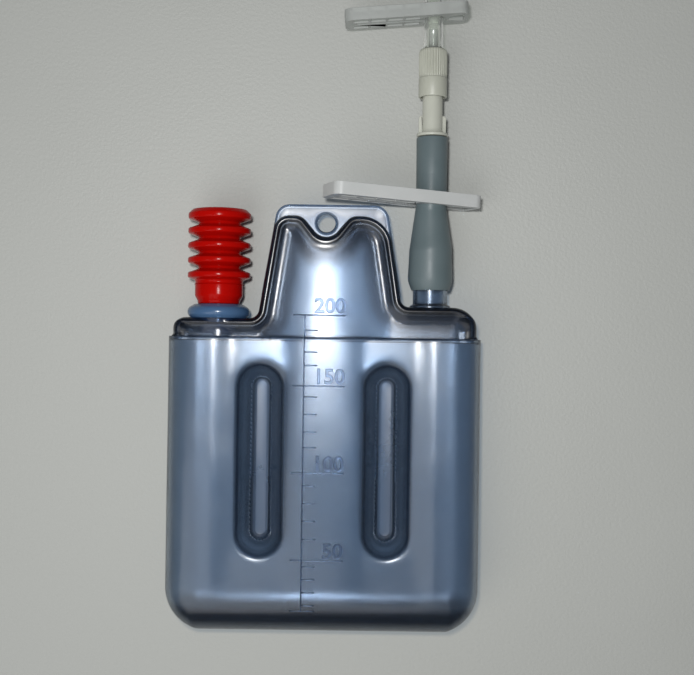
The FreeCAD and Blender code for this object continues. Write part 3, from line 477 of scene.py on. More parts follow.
def hollow_outline():
    """The same for the hollow inside the wall, which has no seam and no tab."""
    half, narrow, top = HALF_WIDTH - WALL, UPPER["half"] - WALL, LEDGE - WALL
    return rounded_path(
        [(-half, top, 0.3), (-narrow, top, 0.3)] + upper_corners(WALL)
        + [(narrow, top, 0.3), (half, top, 0.3)] + body_corners(WALL), run_step=1.4)


print("outline points:", len(whole_outline()), "and", len(hollow_outline()))

# %% [markdown]
# A point's distance from an outline comes from its distance to each short side of it. NumPy does
# that for thousands of points at once. The roll turns the distance into a quarter round.

# %% Distances and rolls
def distances(points, outline):
    """How far inside a closed outline each point lies; outside is negative."""
    start = np.array([tuple(p) for p in outline])
    end = np.roll(start, -1, axis=0)
    run = end - start
    square = np.maximum((run ** 2).sum(axis=1), 1e-12)
    result = np.empty(len(points))
    for first in range(0, len(points), 2000):
        part = points[first:first + 2000, None, :]
        share = np.clip(((part - start) * run).sum(axis=2) / square, 0, 1)
        gap = part - start - share[..., None] * run
        near = np.sqrt((gap ** 2).sum(axis=2).min(axis=1))
        above = (start[:, 1] > part[..., 1]) != (end[:, 1] > part[..., 1])
        rise = np.where(np.abs(run[:, 1]) < 1e-12, 1e-12, run[:, 1])
        crossing = start[:, 0] + (part[..., 1] - start[:, 1]) * run[:, 0] / rise
        inside = (above & (part[..., 0] < crossing)).sum(axis=1) % 2 == 1
        result[first:first + 2000] = np.where(inside, near, -near)
    return result


def roll(depth, face, radius):
    """Height of a rounded edge at a depth inside its outline."""
    short = radius - np.clip(depth, 0, radius)
    return face - radius + np.sqrt(np.maximum(radius ** 2 - short ** 2, 0))


def soft_min(one, other, width):
    """The smaller of two heights, rounded where they meet."""
    blend = np.maximum(width - np.abs(one - other), 0) / width
    return np.minimum(one, other) - blend ** 2 * width / 4


def from_pillar(points, x):
    """Distance from a pillar's own upright middle line."""
    nearest = np.clip(points[:, 1], *PILLAR_ENDS)
    return np.hypot(points[:, 0] - x, points[:, 1] - nearest)


def nearest_pillar(points):
    """Distance from the nearer of the two pillars."""
    return np.minimum(*(from_pillar(points, x) for x in PILLARS))


BODY_OUTLINE = rounded_path(body_corners(0.0) + [(-HALF_WIDTH, 200, 0), (HALF_WIDTH, 200, 0)])
UPPER_OUTLINE = rounded_path(
    upper_corners(0.0) + [(UPPER["half"], 40, 0), (-UPPER["half"], 40, 0)], run_step=2.0)
print("distance inside at the middle:", distances(np.array([[0.0, 60.0]]), BODY_OUTLINE))

# %% [markdown]
# The front isn't quite flat. Its middle is crowned, it dips at the two pillars, which pulled the
# hot wall in when the bottle was blown, and it rises to a soft ridge beside each of them. Those
# shapes make the upright streaks of light. The hump is crowned too, so its glow is a narrow band.

# %% Height of the front
RECESS_EDGE = 8.4
SINK_DEPTH = 0.35
SINK_REACH = 3.0
PANEL_DROP = 1.0
PANEL_EDGES = (13.6, 31.0, 39.5)
CROWN_RADIUS = 75.0
CROWN_HALF = 14.0
TAPER_FROM = 54.0
TAPER_DROP = 0.7
HUMP_SLOPE = 0.04


def sink(points):
    """How far the panel sinks towards the pillars."""
    low = np.zeros(len(points))
    for x in PILLARS:
        away = np.clip((from_pillar(points, x) - RECESS_EDGE) / SINK_REACH, -0.3, 1)
        low += SINK_DEPTH * (1 - away) ** 2
    return low


def panel(points):
    """How far the body's front lies below its two upright ridges."""
    aside = np.abs(points[:, 0])
    middle, dip, ridge = PANEL_EDGES
    drop = np.where(
        aside < middle, (aside / middle) ** 3, 1 - smooth((aside - dip) / (ridge - dip)))
    return PANEL_DROP * drop * smooth((points[:, 1] - 8.0) / 14.0)


def smooth(share):
    """A soft step from 0 to 1."""
    share = np.clip(share, 0, 1)
    return share * share * (3 - 2 * share)


def crown(points):
    """How far the hump's face falls off to its sides."""
    aside = np.abs(points[:, 0])
    near = np.minimum(aside, CROWN_HALF)
    return near ** 2 / (2 * CROWN_RADIUS) + (
        np.clip(aside - CROWN_HALF, 0, 8) * CROWN_HALF / CROWN_RADIUS)


def taper(points):
    """How far the front falls towards the top. The back lies flat, so it has none of this."""
    high = points[:, 1]
    body = TAPER_DROP * (1 - ((120.0 - high) / (120.0 - TAPER_FROM)) ** 2)
    body *= smooth((high - TAPER_FROM) / 16.0)
    inside = smooth(distances(points, UPPER_OUTLINE) / 4.0)
    return np.where(high <= LEDGE, body, (TAPER_DROP + HUMP_SLOPE * (high - LEDGE)) * inside)


def body_height(points, inset):
    """Front of the body: rolled edges, its soft ridges and the two recesses."""
    depth = distances(points, BODY_OUTLINE) - inset
    height = np.minimum(
        roll(depth, BODY["face"] - inset, BODY["roll"] - inset),
        roll(points[:, 1] - inset, BODY["face"] - inset, BODY["foot_roll"] - inset))
    height = height - sink(points) - panel(points)
    for x in PILLARS:
        away = from_pillar(points, x) - across_slope(inset)
        flank = PILLAR["web"] + (away - PILLAR["floor"]) * PILLAR["slope"]
        if inset == 0:
            flank = -soft_min(-flank, np.full(len(points), -PILLAR["web"]), 1.0)
            flank = flank - 0.3 * np.clip((2.2 - away) / 0.25, 0, 1)
        height = soft_min(height, flank, 1.6 - inset / 2)
    return height


def upper_height(points, inset):
    """Front of the shoulders and the hump; outside the hump it is the pinched tab."""
    depth = distances(points, UPPER_OUTLINE) - inset
    aside = UPPER["half"] - np.abs(points[:, 0]) - inset
    face = UPPER["face"] - inset
    height = np.minimum(
        roll(depth, face, UPPER["roll"] - inset), roll(aside, face, UPPER["side_roll"] - inset))
    height -= crown(points) * smooth(depth / 6.0)
    if inset > 0:
        return height
    for boss in (SEAT, STUB):
        round_part = np.sqrt(np.maximum(boss["radius"] ** 2 - (points[:, 0] - boss["x"]) ** 2, 0))
        height = np.where(
            points[:, 1] > boss["top"] - 8, np.maximum(height, round_part), height)
    edge = np.abs(distances(points, TAB_OUTLINE) - 0.9)
    web = TAB["half"] + 0.12 * np.clip(1.4 - edge / 0.5, 0, 1)
    ring = np.hypot(points[:, 0] - HOLE.x, points[:, 1] - HOLE.y)
    web = web - 0.3 * np.clip((3.6 - ring) / 0.4, 0, 1)
    return np.where(depth > 0, height, web)


TAB_OUTLINE = rounded_path(tab_corners(), run_step=2.0)


def front_height(points, inset):
    """Height of the whole front, outer for no inset and inner for the wall's."""
    ledge = LEDGE - inset
    body = body_height(points, inset)
    below = np.clip(0.6 - (ledge - points[:, 1]), 0, 0.6)
    body = body - (0.6 - np.sqrt(0.36 - below ** 2)) * (inset == 0)
    return np.where(points[:, 1] <= ledge + 0.01, body, upper_height(points, inset))


sample = np.array([[0, 60], [22, 60], [-39, 60], [0, 130], [-37.8, 109.9], [0, 149]], float)
print("heights:", np.round(front_height(sample, 0.0), 2))

# %% [markdown]
# The points of the mesh follow the rolled edges in rows, close together where the edge is steep.
# They are joined by a Delaunay triangulation, which Blender has built in. Rows beside the pillars,
# the ledge and the hanger hole do the same there, and a plain grid fills the rest.

# %% Points of the front
ROWS = (0.001, 0.06, 0.22, 0.5, 0.9, 1.4, 2.0, 2.7, 3.5, 4.5, 5.6, 6.8, 8.2, 10.0)
PILLAR_ROWS = (1.7, 2.0, 2.2, 2.45, 2.9, 3.3, 3.8, 4.8, 5.8, 6.6, 7.1, 7.4, 7.65, 7.9, 8.15, 8.5,
               9.0, 9.8, 11.0, 12.4)
RIDGE_ROWS = (35.6, 36.3, 37.0, 37.6, 38.1, 38.6, 39.1, 39.7, 40.5, 41.6)


def inwards(ring):
    """A step of 1 mm from each point of a closed ring towards its inside."""
    run = np.roll(ring, -1, axis=0) - np.roll(ring, 1, axis=0)
    run /= np.maximum(np.hypot(run[:, 0], run[:, 1]), 1e-9)[:, None]
    area = (ring[:, 0] * np.roll(ring[:, 1], -1) - np.roll(ring[:, 0], -1) * ring[:, 1]).sum()
    return np.stack([-run[:, 1], run[:, 0]], axis=1) * (1 if area > 0 else -1)


def row_points(outline, depth):
    """The outline moved inwards by a depth, without the points that came too near a side."""
    here = np.array([tuple(p) for p in outline])
    moved = here + inwards(here) * depth
    return moved[np.abs(distances(moved, outline) - depth) < 0.02 + abs(depth) * 0.02]


def stadium(x, radius, step=1.1):
    """Points round a pillar at a distance from its middle line."""
    low, high = PILLAR_ENDS
    points = []
    turns = max(8, math.ceil(math.pi * radius / step))
    runs = math.ceil((high - low) / 1.6)
    for number in range(turns + 1):
        angle = math.pi * number / turns
        points.append((x + radius * math.cos(angle), high + radius * math.sin(angle)))
        points.append((x - radius * math.cos(angle), low - radius * math.sin(angle)))
    for number in range(1, runs):
        y = low + (high - low) * number / runs
        points += [(x - radius, y), (x + radius, y)]
    return np.array(points)


def front_points(inset):
    """Every point of the front but its silhouette, in millimetres."""
    sets = []
    ledge = LEDGE - inset
    half, narrow = HALF_WIDTH - inset, UPPER["half"] - inset
    body = rounded_path(
        body_corners(inset) + [(-half, ledge + 30, 0), (half, ledge + 30, 0)], run_step=1.4)
    upper = rounded_path(
        upper_corners(inset) + [(narrow, 80, 0), (-narrow, 80, 0)], arc_step=0.45, run_step=1.4)
    for depth in ROWS:
        row = row_points(body, depth)
        sets.append(row[row[:, 1] < ledge - 0.7])
        row = row_points(upper, depth)
        sets.append(row[row[:, 1] > ledge + 0.3])
    if inset == 0:
        for depth in (-0.05, -0.2):
            row = row_points(upper, depth)
            sets.append(row[row[:, 1] > TAB["foot"]])
        even = np.linspace(0, 2 * math.pi, 40, endpoint=False)
        sets += [hole_ring(radius, even) for radius in (3.4, 3.6, 4.5)]
        for depth in (0.25, 0.6, 0.9, 1.2, 1.6):
            row = row_points(rounded_path(tab_corners(), run_step=1.2), depth)
            sets.append(row[distances(row, upper) < -0.3])
    across = np.arange(-HALF_WIDTH + inset + 0.4, half, 1.3)
    for offset in (-1.4, -0.6, -0.3, -0.1, 0.0, 0.05, 0.25, 1.2):
        row = across[np.abs(across) < (half if offset <= 0 else narrow) - 0.1]
        sets.append(np.stack([row, np.full(len(row), ledge + offset)], axis=1))
    spread = across_slope(inset)
    for x in PILLARS:
        for radius in PILLAR_ROWS:
            if inset == 0 or radius > 2.9:
                sets.append(stadium(x, radius + spread))
    grid = np.stack(np.meshgrid(np.arange(-52, 52, 2.3), np.arange(3, 143, 2.3)), axis=-1)
    grid = grid.reshape(-1, 2)
    deep = np.where(
        grid[:, 1] < ledge, distances(grid, body), distances(grid, upper)) > 10.6
    shallow = (grid[:, 1] > ledge + 2) & (distances(grid, upper) > 5.0)
    keep = (deep | shallow) & (nearest_pillar(grid) > 13.4 + spread)
    keep &= np.abs(grid[:, 1] - ledge) > 1.9
    aside = np.abs(grid[:, 0])
    keep &= (grid[:, 1] > ledge) | (aside < 34.8) | (aside > 42.4)
    sets.append(grid[keep])
    for x in RIDGE_ROWS:
        high = np.arange(11.5, ledge - 1.9, 2.0)
        for side in (-x, x):
            sets.append(np.stack([np.full(len(high), side), high], axis=1))
    return np.concatenate(sets)


def hole_ring(radius, turn):
    """Points round the hanger hole at the given turns."""
    return np.stack([HOLE.x + radius * np.cos(turn), HOLE.y + radius * np.sin(turn)], axis=1)


print("front points:", len(front_points(0.0)))

# %% [markdown]
# The outer skin is the front, its mirror image and an upright strip between their silhouettes.
# The inner skin is made the same way with its faces turned round, so that the wall between the two
# is the solid plastic, and light bends into it and out of it again as in the real one.

# %% Skins
HAIR = 0.002


def skin(inset, outline, rims):
    """Front, back and side strips of one skin: points in millimetres, and faces."""
    border = np.array([tuple(p) for p in outline])
    inner = front_points(inset)
    loops, start = [], 0
    for ring in [border] + rims:
        loops.append(list(range(start, start + len(ring))))
        start += len(ring)
    keep = distances(inner, outline) > 0.03
    for ring in rims:
        keep &= distances(inner, ring) < -0.05
    plan = np.concatenate([border] + rims + [inner[keep]])
    edges = [(loop[n - 1], loop[n]) for loop in loops for n in range(len(loop))]
    result = delaunay_2d_cdt([Vector(p) for p in plan], edges, [loops[0]], 1, 1e-6)
    spots = np.array([tuple(p) for p in result[0]])
    where = {old: new for new, olds in enumerate(result[3]) for old in olds}
    loops = [[where[n] for n in loop] for loop in loops]
    front = [
        tuple(face) for face in result[2] if not in_hole(spots[list(face)].mean(axis=0), rims)]
    near = nudge(spots, loops)
    height = front_height(near, inset)
    if inset > 0:
        for loop in loops[1:]:
            height[loop] = 0.0
    count = len(spots)
    faces = front + [tuple(n + count for n in reversed(face)) for face in front]
    for loop in loops:
        faces += band(loop, [n + count for n in loop])
    points = [np.column_stack([spots, height - taper(near)]), np.column_stack([spots, -height])]
    return np.concatenate(points), faces


def in_hole(spot, rims):
    """Whether a spot lies inside one of the holes."""
    return any(distances(spot[None, :], ring)[0] > 0 for ring in rims)


def nudge(spots, loops):
    """Moves the points of each silhouette a hair inwards, to where the height map is defined."""
    moved = spots.copy()
    for number, loop in enumerate(loops):
        moved[loop] += inwards(spots[loop]) * (HAIR if number == 0 else -HAIR)
    return moved


def pillar_ring(x, radius):
    """Points round a pillar in order."""
    loose = stadium(x, radius)
    middle = np.array([x, sum(PILLAR_ENDS) / 2])
    turn = np.arctan2(*(loose - middle).T[::-1])
    return loose[np.unique(np.round(turn, 6), return_index=True)[1]]


def bottle_shell():
    """Both skins in one mesh."""
    web_ring = PILLAR["floor"] - PILLAR["web"] / PILLAR["slope"] + across_slope(WALL)
    outer, outer_faces = skin(0.0, whole_outline(), [hole_ring(HOLE_RADIUS, HOLE_TURNS)])
    inner, inner_faces = skin(WALL, hollow_outline(), [pillar_ring(x, web_ring) for x in PILLARS])
    inner_faces = [tuple(n + len(outer) for n in reversed(face)) for face in inner_faces]
    points = [at(x, y, z + MIDDLE) for x, y, z in np.concatenate([outer, inner])]
    item = new_piece(
        "bottle_shell", points, outer_faces + inner_faces, "bottle", "drain", "bottle")
    with opened(item.data) as mesh:
        loose = [vert for vert in mesh.verts if not vert.link_faces]
        bmesh.ops.delete(mesh, geom=loose, context="VERTS")
        print("open edges:", sum(not edge.is_manifold for edge in mesh.edges))
    pinch(item)
    return item


def line(gap, half_width):
    """1 on a line and 0 beyond half its width."""
    return smooth(1.0 - np.abs(gap) / half_width)


def wall_depth(points):
    """Painted shade on the bottle: round the hump, along the ledge, at the base and in the
    recesses.
    """
    high, inside = points[:, 1], distances(points, UPPER_OUTLINE)
    rim = 0.7 * smooth((13.0 - inside) / 7.0) + 0.3 * smooth((2.8 - inside) / 1.2)
    rim *= (high > LEDGE) * (inside > -0.1)
    base = 0.78 * smooth((11.5 - high) / 4.0)
    away = nearest_pillar(points)
    lip = 0.95 * line(away - 7.6, 1.1) + 0.5 * line(away - 5.2, 0.7)
    recess = np.where(away > 2.6, np.maximum(lip, 0.9 * line(away - 3.1, 0.8)), 0.0)
    return np.maximum.reduce([rim, line(high - LEDGE + 0.05, 0.9), base, np.minimum(recess, 0.95)])


def plan_view(places):
    """Places in metres as millimetres right of the middle and above the base."""
    return np.array([tuple(place) for place in places])[:, :2] / MM + (0.0, BACK_CENTRE)


def pinch(item):
    """Gives the tab, the seam and the pillars' webs, where both walls are one, a deeper tint, and
    the shell its painted shade values.
    """
    data = item.data
    data.materials.append(finish["double wall"])
    centres = plan_view(side.center for side in data.polygons)
    aside = (centres[:, 1] > TAB["foot"]) & (distances(centres, UPPER_OUTLINE) < 0.2)
    double = aside | (nearest_pillar(centres) < 3.6)
    data.polygons.foreach_set("material_index", double.astype(int))
    # The wall values are painted shade: the material darkens towards its edge colour where they are
    # high.
    spots = plan_view(vert.co for vert in data.vertices)
    data.attributes.new("wall", "FLOAT", "POINT").data.foreach_set(
        "value", wall_depth(spots).astype(np.float32))


shell = bottle_shell()
print("faces:", len(shell.data.polygons))

# %% [markdown]
# ## Turned pieces
# Grommet, bellows, sleeve, barrel, collar, hub and adapter are all round about an axis along +Y.
# Each is an outline of corners, a radius out and a height up, turned about that axis.

# %% Turning
LINE_X = STUB["x"]
INDICATOR_X = SEAT["x"]


def turned(name, corners, x, foot, kind, body, *replaced, height=MIDDLE, sides=96, step=0.35,
           wobble=None):
    """Turns an outline in millimetres about an axis along +Y through (x, height)."""
    path = rounded_path(corners, arc_step=step)
    area = sum(a.x * b.y - b.x * a.y for a, b in zip(path, path[1:] + path[:1]))
    if area < 0:
        path.reverse()
    count = len(path)
    verts, faces = [], []
    for side in range(sides):
        angle = 2 * math.pi * side / sides
        for radius, along in path:
            wide = wobble(radius, along, angle) if wobble else radius
            verts.append(at(
                x + wide * math.cos(angle), foot + along, height + wide * math.sin(angle)))
        here, there = side * count, (side + 1) % sides * count
        faces += band(range(here, here + count), range(there, there + count))
    item = new_piece(name, verts, faces, kind, body, *replaced)
    with opened(item.data) as mesh:
        bmesh.ops.remove_doubles(mesh, verts=mesh.verts, dist=1e-7)
        bmesh.ops.recalc_face_normals(mesh, faces=mesh.faces)
    item.data.shade_smooth()
    item.data.set_sharp_from_angle(angle=math.radians(40))
    return item


# %% [markdown]
# ### Indicator
# The grommet is a soft ring with a rounded rim. The bellows has five thin folds. As the vacuum
# draws it in, it grows shorter towards the grommet.

# %% Grommet and bellows
BELLOWS_FOOT = SEAT["top"] + 5.3
FOLDS = 5
FOLD_PITCH = 5.2
FIRST_FOLD = 9.8
FOLD_CAP = 2.3
BELLOWS_HEIGHT = FIRST_FOLD + FOLD_PITCH * (FOLDS - 1) + FOLD_CAP

turned(
    "grommet_ring",
    [(5.0, -6.0), (5.8, -6.0), (6.9, -2.8), (6.9, -1.4, 0.2), (6.45, -1.35), (6.45, 0.0),
     (9.6, -0.2, 0.8), (11.0, 1.1, 1.6), (11.0, 3.3, 2.2), (8.4, 4.8, 1.6), (5.0, 4.8, 0.4)],
    INDICATOR_X, SEAT["top"], "grommet", "drain", "indicator_grommet")


def bellows_corners():
    """Foot, waist, five folds and the closed top; the inside is left out, because it is dark."""
    valley, tip, rim, top = 7.35, 11.1, 0.8, BELLOWS_HEIGHT
    corners = [(0.0, -0.4), (7.4, -0.4, 0.3), (7.5, 0.6, 1.0), (8.5, 2.4, 1.5), (8.5, 6.6, 0.8)]
    for number in range(FOLDS):
        middle = FIRST_FOLD + FOLD_PITCH * number
        corners += [(valley, middle - 2.3, 1.0), (tip, middle - rim - 0.2, 0.75),
                    (tip, middle + rim, 0.75), (valley, middle + 2.1, 1.0)]
    corners[-1] = (9.6, top, 0.6)
    corners += [(8.6, top, 0.5), (7.4, top - 1.2, 0.8), (0.0, top - 1.4)]
    return corners


bellows = turned(
    "bellows_folds", bellows_corners(), INDICATOR_X, BELLOWS_FOOT, "bellows", "drain",
    "indicator_bellows", step=0.25)
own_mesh(bellows)

# %% [markdown]
# ### Drain line
# The sleeve is a soft tube, wide where it is stretched over the bottle's stub. It waves a little
# along its length, as rubber that was pushed on by hand does. The connector's spigot is inside it.

# %% Stub and sleeve
SLEEVE_FOOT = 120.4
SLEEVE_LENGTH = 54.4

turned(
    "stub_tube",
    [(4.8, -0.3), (7.2, -0.3), (7.2, 0.6, 0.4), (6.1, 1.2, 0.5), (6.1, 20.6), (6.5, 21.2, 0.3),
     (5.8, 24.9, 0.2), (4.8, 24.9)],
    LINE_X, STUB["top"], "bottle", "drain")


def hand_pushed(radius, along, angle):
    """A little unevenness of the sleeve's outside."""
    if radius < 4.6:
        return radius
    wave = 0.10 * math.sin(along * 0.33 + 2.0 * angle) + 0.06 * math.sin(along * 0.8 + angle + 1.0)
    return radius - 0.12 + wave


turned(
    "sleeve_rubber",
    [(6.35, 0.2), (6.7, 0.0, 0.4), (7.9, 3.4, 8.0), (7.75, 15.0, 14.0), (5.6, 29.0, 16.0),
     (5.5, 41.0, 6.0), (5.75, SLEEVE_LENGTH, 0.5), (4.3, SLEEVE_LENGTH), (4.3, 41.0),
     (4.0, 23.6), (6.35, 18.8)],
    LINE_X, SLEEVE_FOOT, "sleeve", "drain", "drain_sleeve", step=0.8, sides=120,
    wobble=hand_pushed)
print("sleeve from", SLEEVE_FOOT, "to", SLEEVE_FOOT + SLEEVE_LENGTH, "mm above the base")

# %% [markdown]
# ### Connector, collar and hub
# The connector has a flange with two thin fins, a barrel, and a barbed spigot inside the sleeve.
# The collar is a cup with a plain skirt and 34 ribs. The hub's disc sits under the collar's top.

# %% Connector, collar and hub
TO_FLANGE = SLEEVE_FOOT + SLEEVE_LENGTH + 0.3
COLLAR_FOOT = TO_FLANGE + 13.9
COLLAR_LENGTH = 17.0
GRIP_RIBS = 34
HUB_DISC = COLLAR_FOOT + COLLAR_LENGTH - 1.6 - 0.3 - 1.6


def barrel_corners():
    """Spigot with three barbs, flange and barrel."""
    spigot, barb, core = 12.8, 3.9, 3.2
    corners = [(2.3, -spigot), (core - 0.4, -spigot)]
    for number in range(3):
        foot = 11.2 * number / 3 - spigot
        corners += [(barb, foot + 2.2, 0.1), (core, foot + 2.4)]
    return corners + [
        (core, 0), (5.55, 0, 0.35), (5.55, 1.1, 0.35), (3.85, 1.1, 0.5), (3.6, 2.4, 1.0),
        (3.5, 21.0, 0.3), (2.3, 21.0, 0.2)]


turned(
    "connector_body", barrel_corners(), LINE_X, TO_FLANGE, "connector", "drain",
    "connector_barrel")


def block(name, corners, thick, foot, kind, body, soft=0.25):
    """A flat plate about the line's axis, with softened edges."""
    path = rounded_path(corners, arc_step=0.2)
    count = len(path)
    points = [
        at(LINE_X + p.x, foot + p.y, MIDDLE + side * thick / 2) for side in (-1, 1) for p in path]
    low, high = range(count), range(count, 2 * count)
    faces = [tuple(reversed(low)), tuple(high)] + band(low, high)
    item = new_piece(name, points, faces, kind, body)
    soften(item, soft)


def soften(item, width):
    """Rounds a piece's hard edges for good, so that they catch the light as moulded edges do."""
    bevel = item.modifiers.new("soft edges", "BEVEL")
    bevel.width = width * MM
    bevel.segments = 3
    bevel.limit_method = "ANGLE"
    bevel.angle_limit = math.radians(32)
    bevel.harden_normals = True
    bpy.context.view_layer.update()
    result = bpy.data.meshes.new_from_object(
        item.evaluated_get(bpy.context.evaluated_depsgraph_get()))
    item.modifiers.clear()
    item.data = result


block(
    "connector_fins",
    [(-4.85, 0.9), (4.85, 0.9), (4.85, 7.4, 1.0), (3.3, 7.4), (3.3, 0.95), (-3.3, 0.95),
     (-3.3, 7.4), (-4.85, 7.4, 1.0)], 1.2, TO_FLANGE, "connector", "drain")
block(
    "connector_lugs", [(-3.85, 19.4), (3.85, 19.4), (3.85, 20.4), (-3.85, 20.4)], 2.4, TO_FLANGE,
    "connector", "drain", soft=0.15)


def ribbed(radius, along, angle):
    """Ribs on the collar's grip, which fade at both of its ends."""
    if radius < 4.5 or along < 7.0:
        return radius
    fade = min(1.0, (along - 7.0) / 0.5, max(0.0, (COLLAR_LENGTH - 0.5 - along) / 0.6))
    wave = 0.5 + 0.5 * math.cos(GRIP_RIBS * angle)
    return radius + fade * (0.3 * wave ** 1.5 - 0.02)


turned(
    "collar_cup",
    [(4.3, 0.0), (5.05, 0.0, 0.3), (5.05, 6.6, 0.3), (4.75, 7.0, 0.3), (4.75, 8.0), (4.75, 12.0),
     (4.75, 15.9), (4.75, COLLAR_LENGTH, 0.6), (3.8, COLLAR_LENGTH, 0.2), (3.8, 15.4), (4.3, 15.4)],
    LINE_X, COLLAR_FOOT, "collar", "collar", "luer_collar", sides=GRIP_RIBS * 12,
    wobble=ribbed)
turned(
    "hub_turned",
    [(1.0, -8.2), (1.9, -8.2, 0.1), (2.1, -1.2), (2.9, -0.9), (2.9, 0.0), (4.0, 0.0, 0.2),
     (4.0, 1.6, 0.2), (1.7, 1.6, 0.3), (1.7, 10.6, 0.2), (1.0, 10.6)],
    LINE_X, HUB_DISC, "hub", "drain", "luer_hub")
print("collar from", round(COLLAR_FOOT, 1), "mm, hub's disc at", round(HUB_DISC, 1), "mm")

# %% [markdown]
# ### Slide clamps
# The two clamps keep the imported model's form. Only their edges are softened.

# %% Slide clamps
CLAMP_EDGE = 0.35
ALMOST_FLAT = math.radians(2)


def clamp_copy(name, source, kind, body):
    """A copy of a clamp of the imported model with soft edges."""
    original = bpy.data.objects[source]
    data = bpy.data.meshes.new(name)
    with opened(data) as mesh:
        mesh.from_mesh(original.data)
        mesh.transform(original.matrix_world)
        bmesh.ops.remove_doubles(mesh, verts=mesh.verts, dist=1e-6)
        bmesh.ops.dissolve_limit(
            mesh, angle_limit=ALMOST_FLAT, verts=mesh.verts, edges=mesh.edges)
    data.shade_smooth()
    data.set_sharp_from_angle(angle=math.radians(32))
    item = add_piece(name, data, kind, body)
    soften(item, CLAMP_EDGE)
    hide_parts(source)
    return item


clamp_copy(
    "sleeve_slide_clamp", "sleeve_clamp", "white clamp", "sleeve_clamp")
tube_clamp = clamp_copy("tube_slide_clamp", "tube_clamp", "frosted clamp", "tube_clamp")

# %% [markdown]
# ## Scale
# The scale is moulded on the bottle as thin raised lines: an upright line, a long line for each
# 50 ml and short ones for each 10 ml. They are closer together where the pillars leave less room.
# The numerals stand on the long lines.

# %% Raised lines and numerals
SCALE_LINE = -6.9
LONG_LINES = {200: 111.2, 150: 86.7, 100: 56.7, 50: 26.6}
SHORT_LINES = (11.2, 15.6, 20.1, 24.5, 33.9, 40.2, 46.2, 52.3, 65.5, 70.8, 76.9, 82.9, 93.8, 98.4,
               105.9)
SCALE_FOOT = 9.2
LONG_LEFT, LONG_RIGHT = SCALE_LINE - 4.0, SCALE_LINE + 14.2
NUMERAL_SIZE = 7.3
RAISED = 0.3


def on_front(x, y, above):
    """A point in metres on the bottle's front, raised by some millimetres."""
    spot = np.array([[x, y]])
    return at(x, y, MIDDLE + front_height(spot, 0.0)[0] - taper(spot)[0] + above)


def raised_line(start, end, wide=0.5):
    """Points and faces of a thin raised line from start to end, in millimetres."""
    start, end = Vector(start), Vector(end)
    run = (end - start).normalized()
    side = Vector((-run.y, run.x))
    count = max(2, math.ceil((end - start).length / 1.2))
    shape = [(-0.5, -0.15), (-0.34, 0.75), (-0.12, 1.0), (0.12, 1.0), (0.34, 0.75), (0.5, -0.15)]
    points = []
    for number in range(count + 1):
        middle = start.lerp(end, number / count)
        for across, high in shape:
            spot = middle + side * across * wide
            points.append(on_front(spot.x, spot.y, high * RAISED))
    rings = [range(n, n + len(shape)) for n in range(0, len(points), len(shape))]
    faces = [tuple(rings[0]), tuple(reversed(rings[-1]))]
    for ring, following in zip(rings, rings[1:]):
        faces += band(following, ring)
    return points, faces


def scale_marks():
    """The upright line, its foot, and a line for each 10 ml."""
    lines = [((SCALE_LINE, SCALE_FOOT), (SCALE_LINE, LONG_LINES[200]))]
    lines += [((LONG_LEFT, SCALE_FOOT), (SCALE_LINE + 4.8, SCALE_FOOT))]
    lines += [((LONG_LEFT, y), (LONG_RIGHT, y)) for y in LONG_LINES.values()]
    lines += [((SCALE_LINE, y), (SCALE_LINE + 4.6, y)) for y in SHORT_LINES]
    points, faces = [], []
    for start, end in lines:
        more, sides = raised_line(start, end)
        faces += [tuple(n + len(points) for n in face) for face in sides]
        points += more
    item = new_piece("scale_marks", points, faces, "double wall", "drain")


def numeral(value, y):
    """A plain numeral that stands on its long line and ends where the line ends."""
    curve = bpy.data.curves.new(f"numeral_{value}", "FONT")
    curve.body = str(value)
    curve.size = NUMERAL_SIZE
    curve.bevel_depth = 0.28
    curve.bevel_resolution = 2
    curve.offset = -0.1
    curve.align_x = "RIGHT"
    curve.resolution_u = 3
    data = bpy.data.meshes.new_from_object(bpy.data.objects.new(curve.name, curve))
    with opened(data) as mesh:
        bmesh.ops.remove_doubles(mesh, verts=mesh.verts, dist=1e-4)
        for vert in mesh.verts:
            spot = (LONG_RIGHT + vert.co.x, y + 0.9 + vert.co.y)
            vert.co = on_front(*spot, max(-0.05, vert.co.z * 1.9))
    item = add_piece(f"numeral_{value}", data, "double wall", "drain")


scale_marks()
for value, y in LONG_LINES.items():
    numeral(value, y)

# %% [markdown]
# ## The drain tube
# The tube is a free cord: it leaves the hub, passes its clamp, comes down to the table and lies in
# a coil. Its middle line is one smooth curve that follows listed points. The coil has two
# flat turns that wind inwards and a third that lies in the groove on top of them. The photograph
# ends at the clamp, so the coil and the adapter are a guess at what a full set has.

# %% Route of the tube
TUBE_RADIUS = 3.5
TUBE_BORE = 2.4
COIL_CENTRE = (-5.0, 300.0)
COIL_RADIUS = 42.0
COIL_PITCH = 7.1
ON_TABLE = 3.6
TURN_STEP = 15
TUBE_START = 204.15
ADAPTER_X, ADAPTER_HEIGHT = 34.55, 12.3
LINE_POINTS = [(TUBE_START, MIDDLE), (233.0, MIDDLE), (266.5, ON_TABLE), (284.0, ON_TABLE)]


def coil_point(radius, turn, height):
    """A point of the coil at a turn in degrees."""
    angle = math.radians(turn)
    x, y = COIL_CENTRE
    return at(x + radius * math.cos(angle), y + radius * math.sin(angle), height)


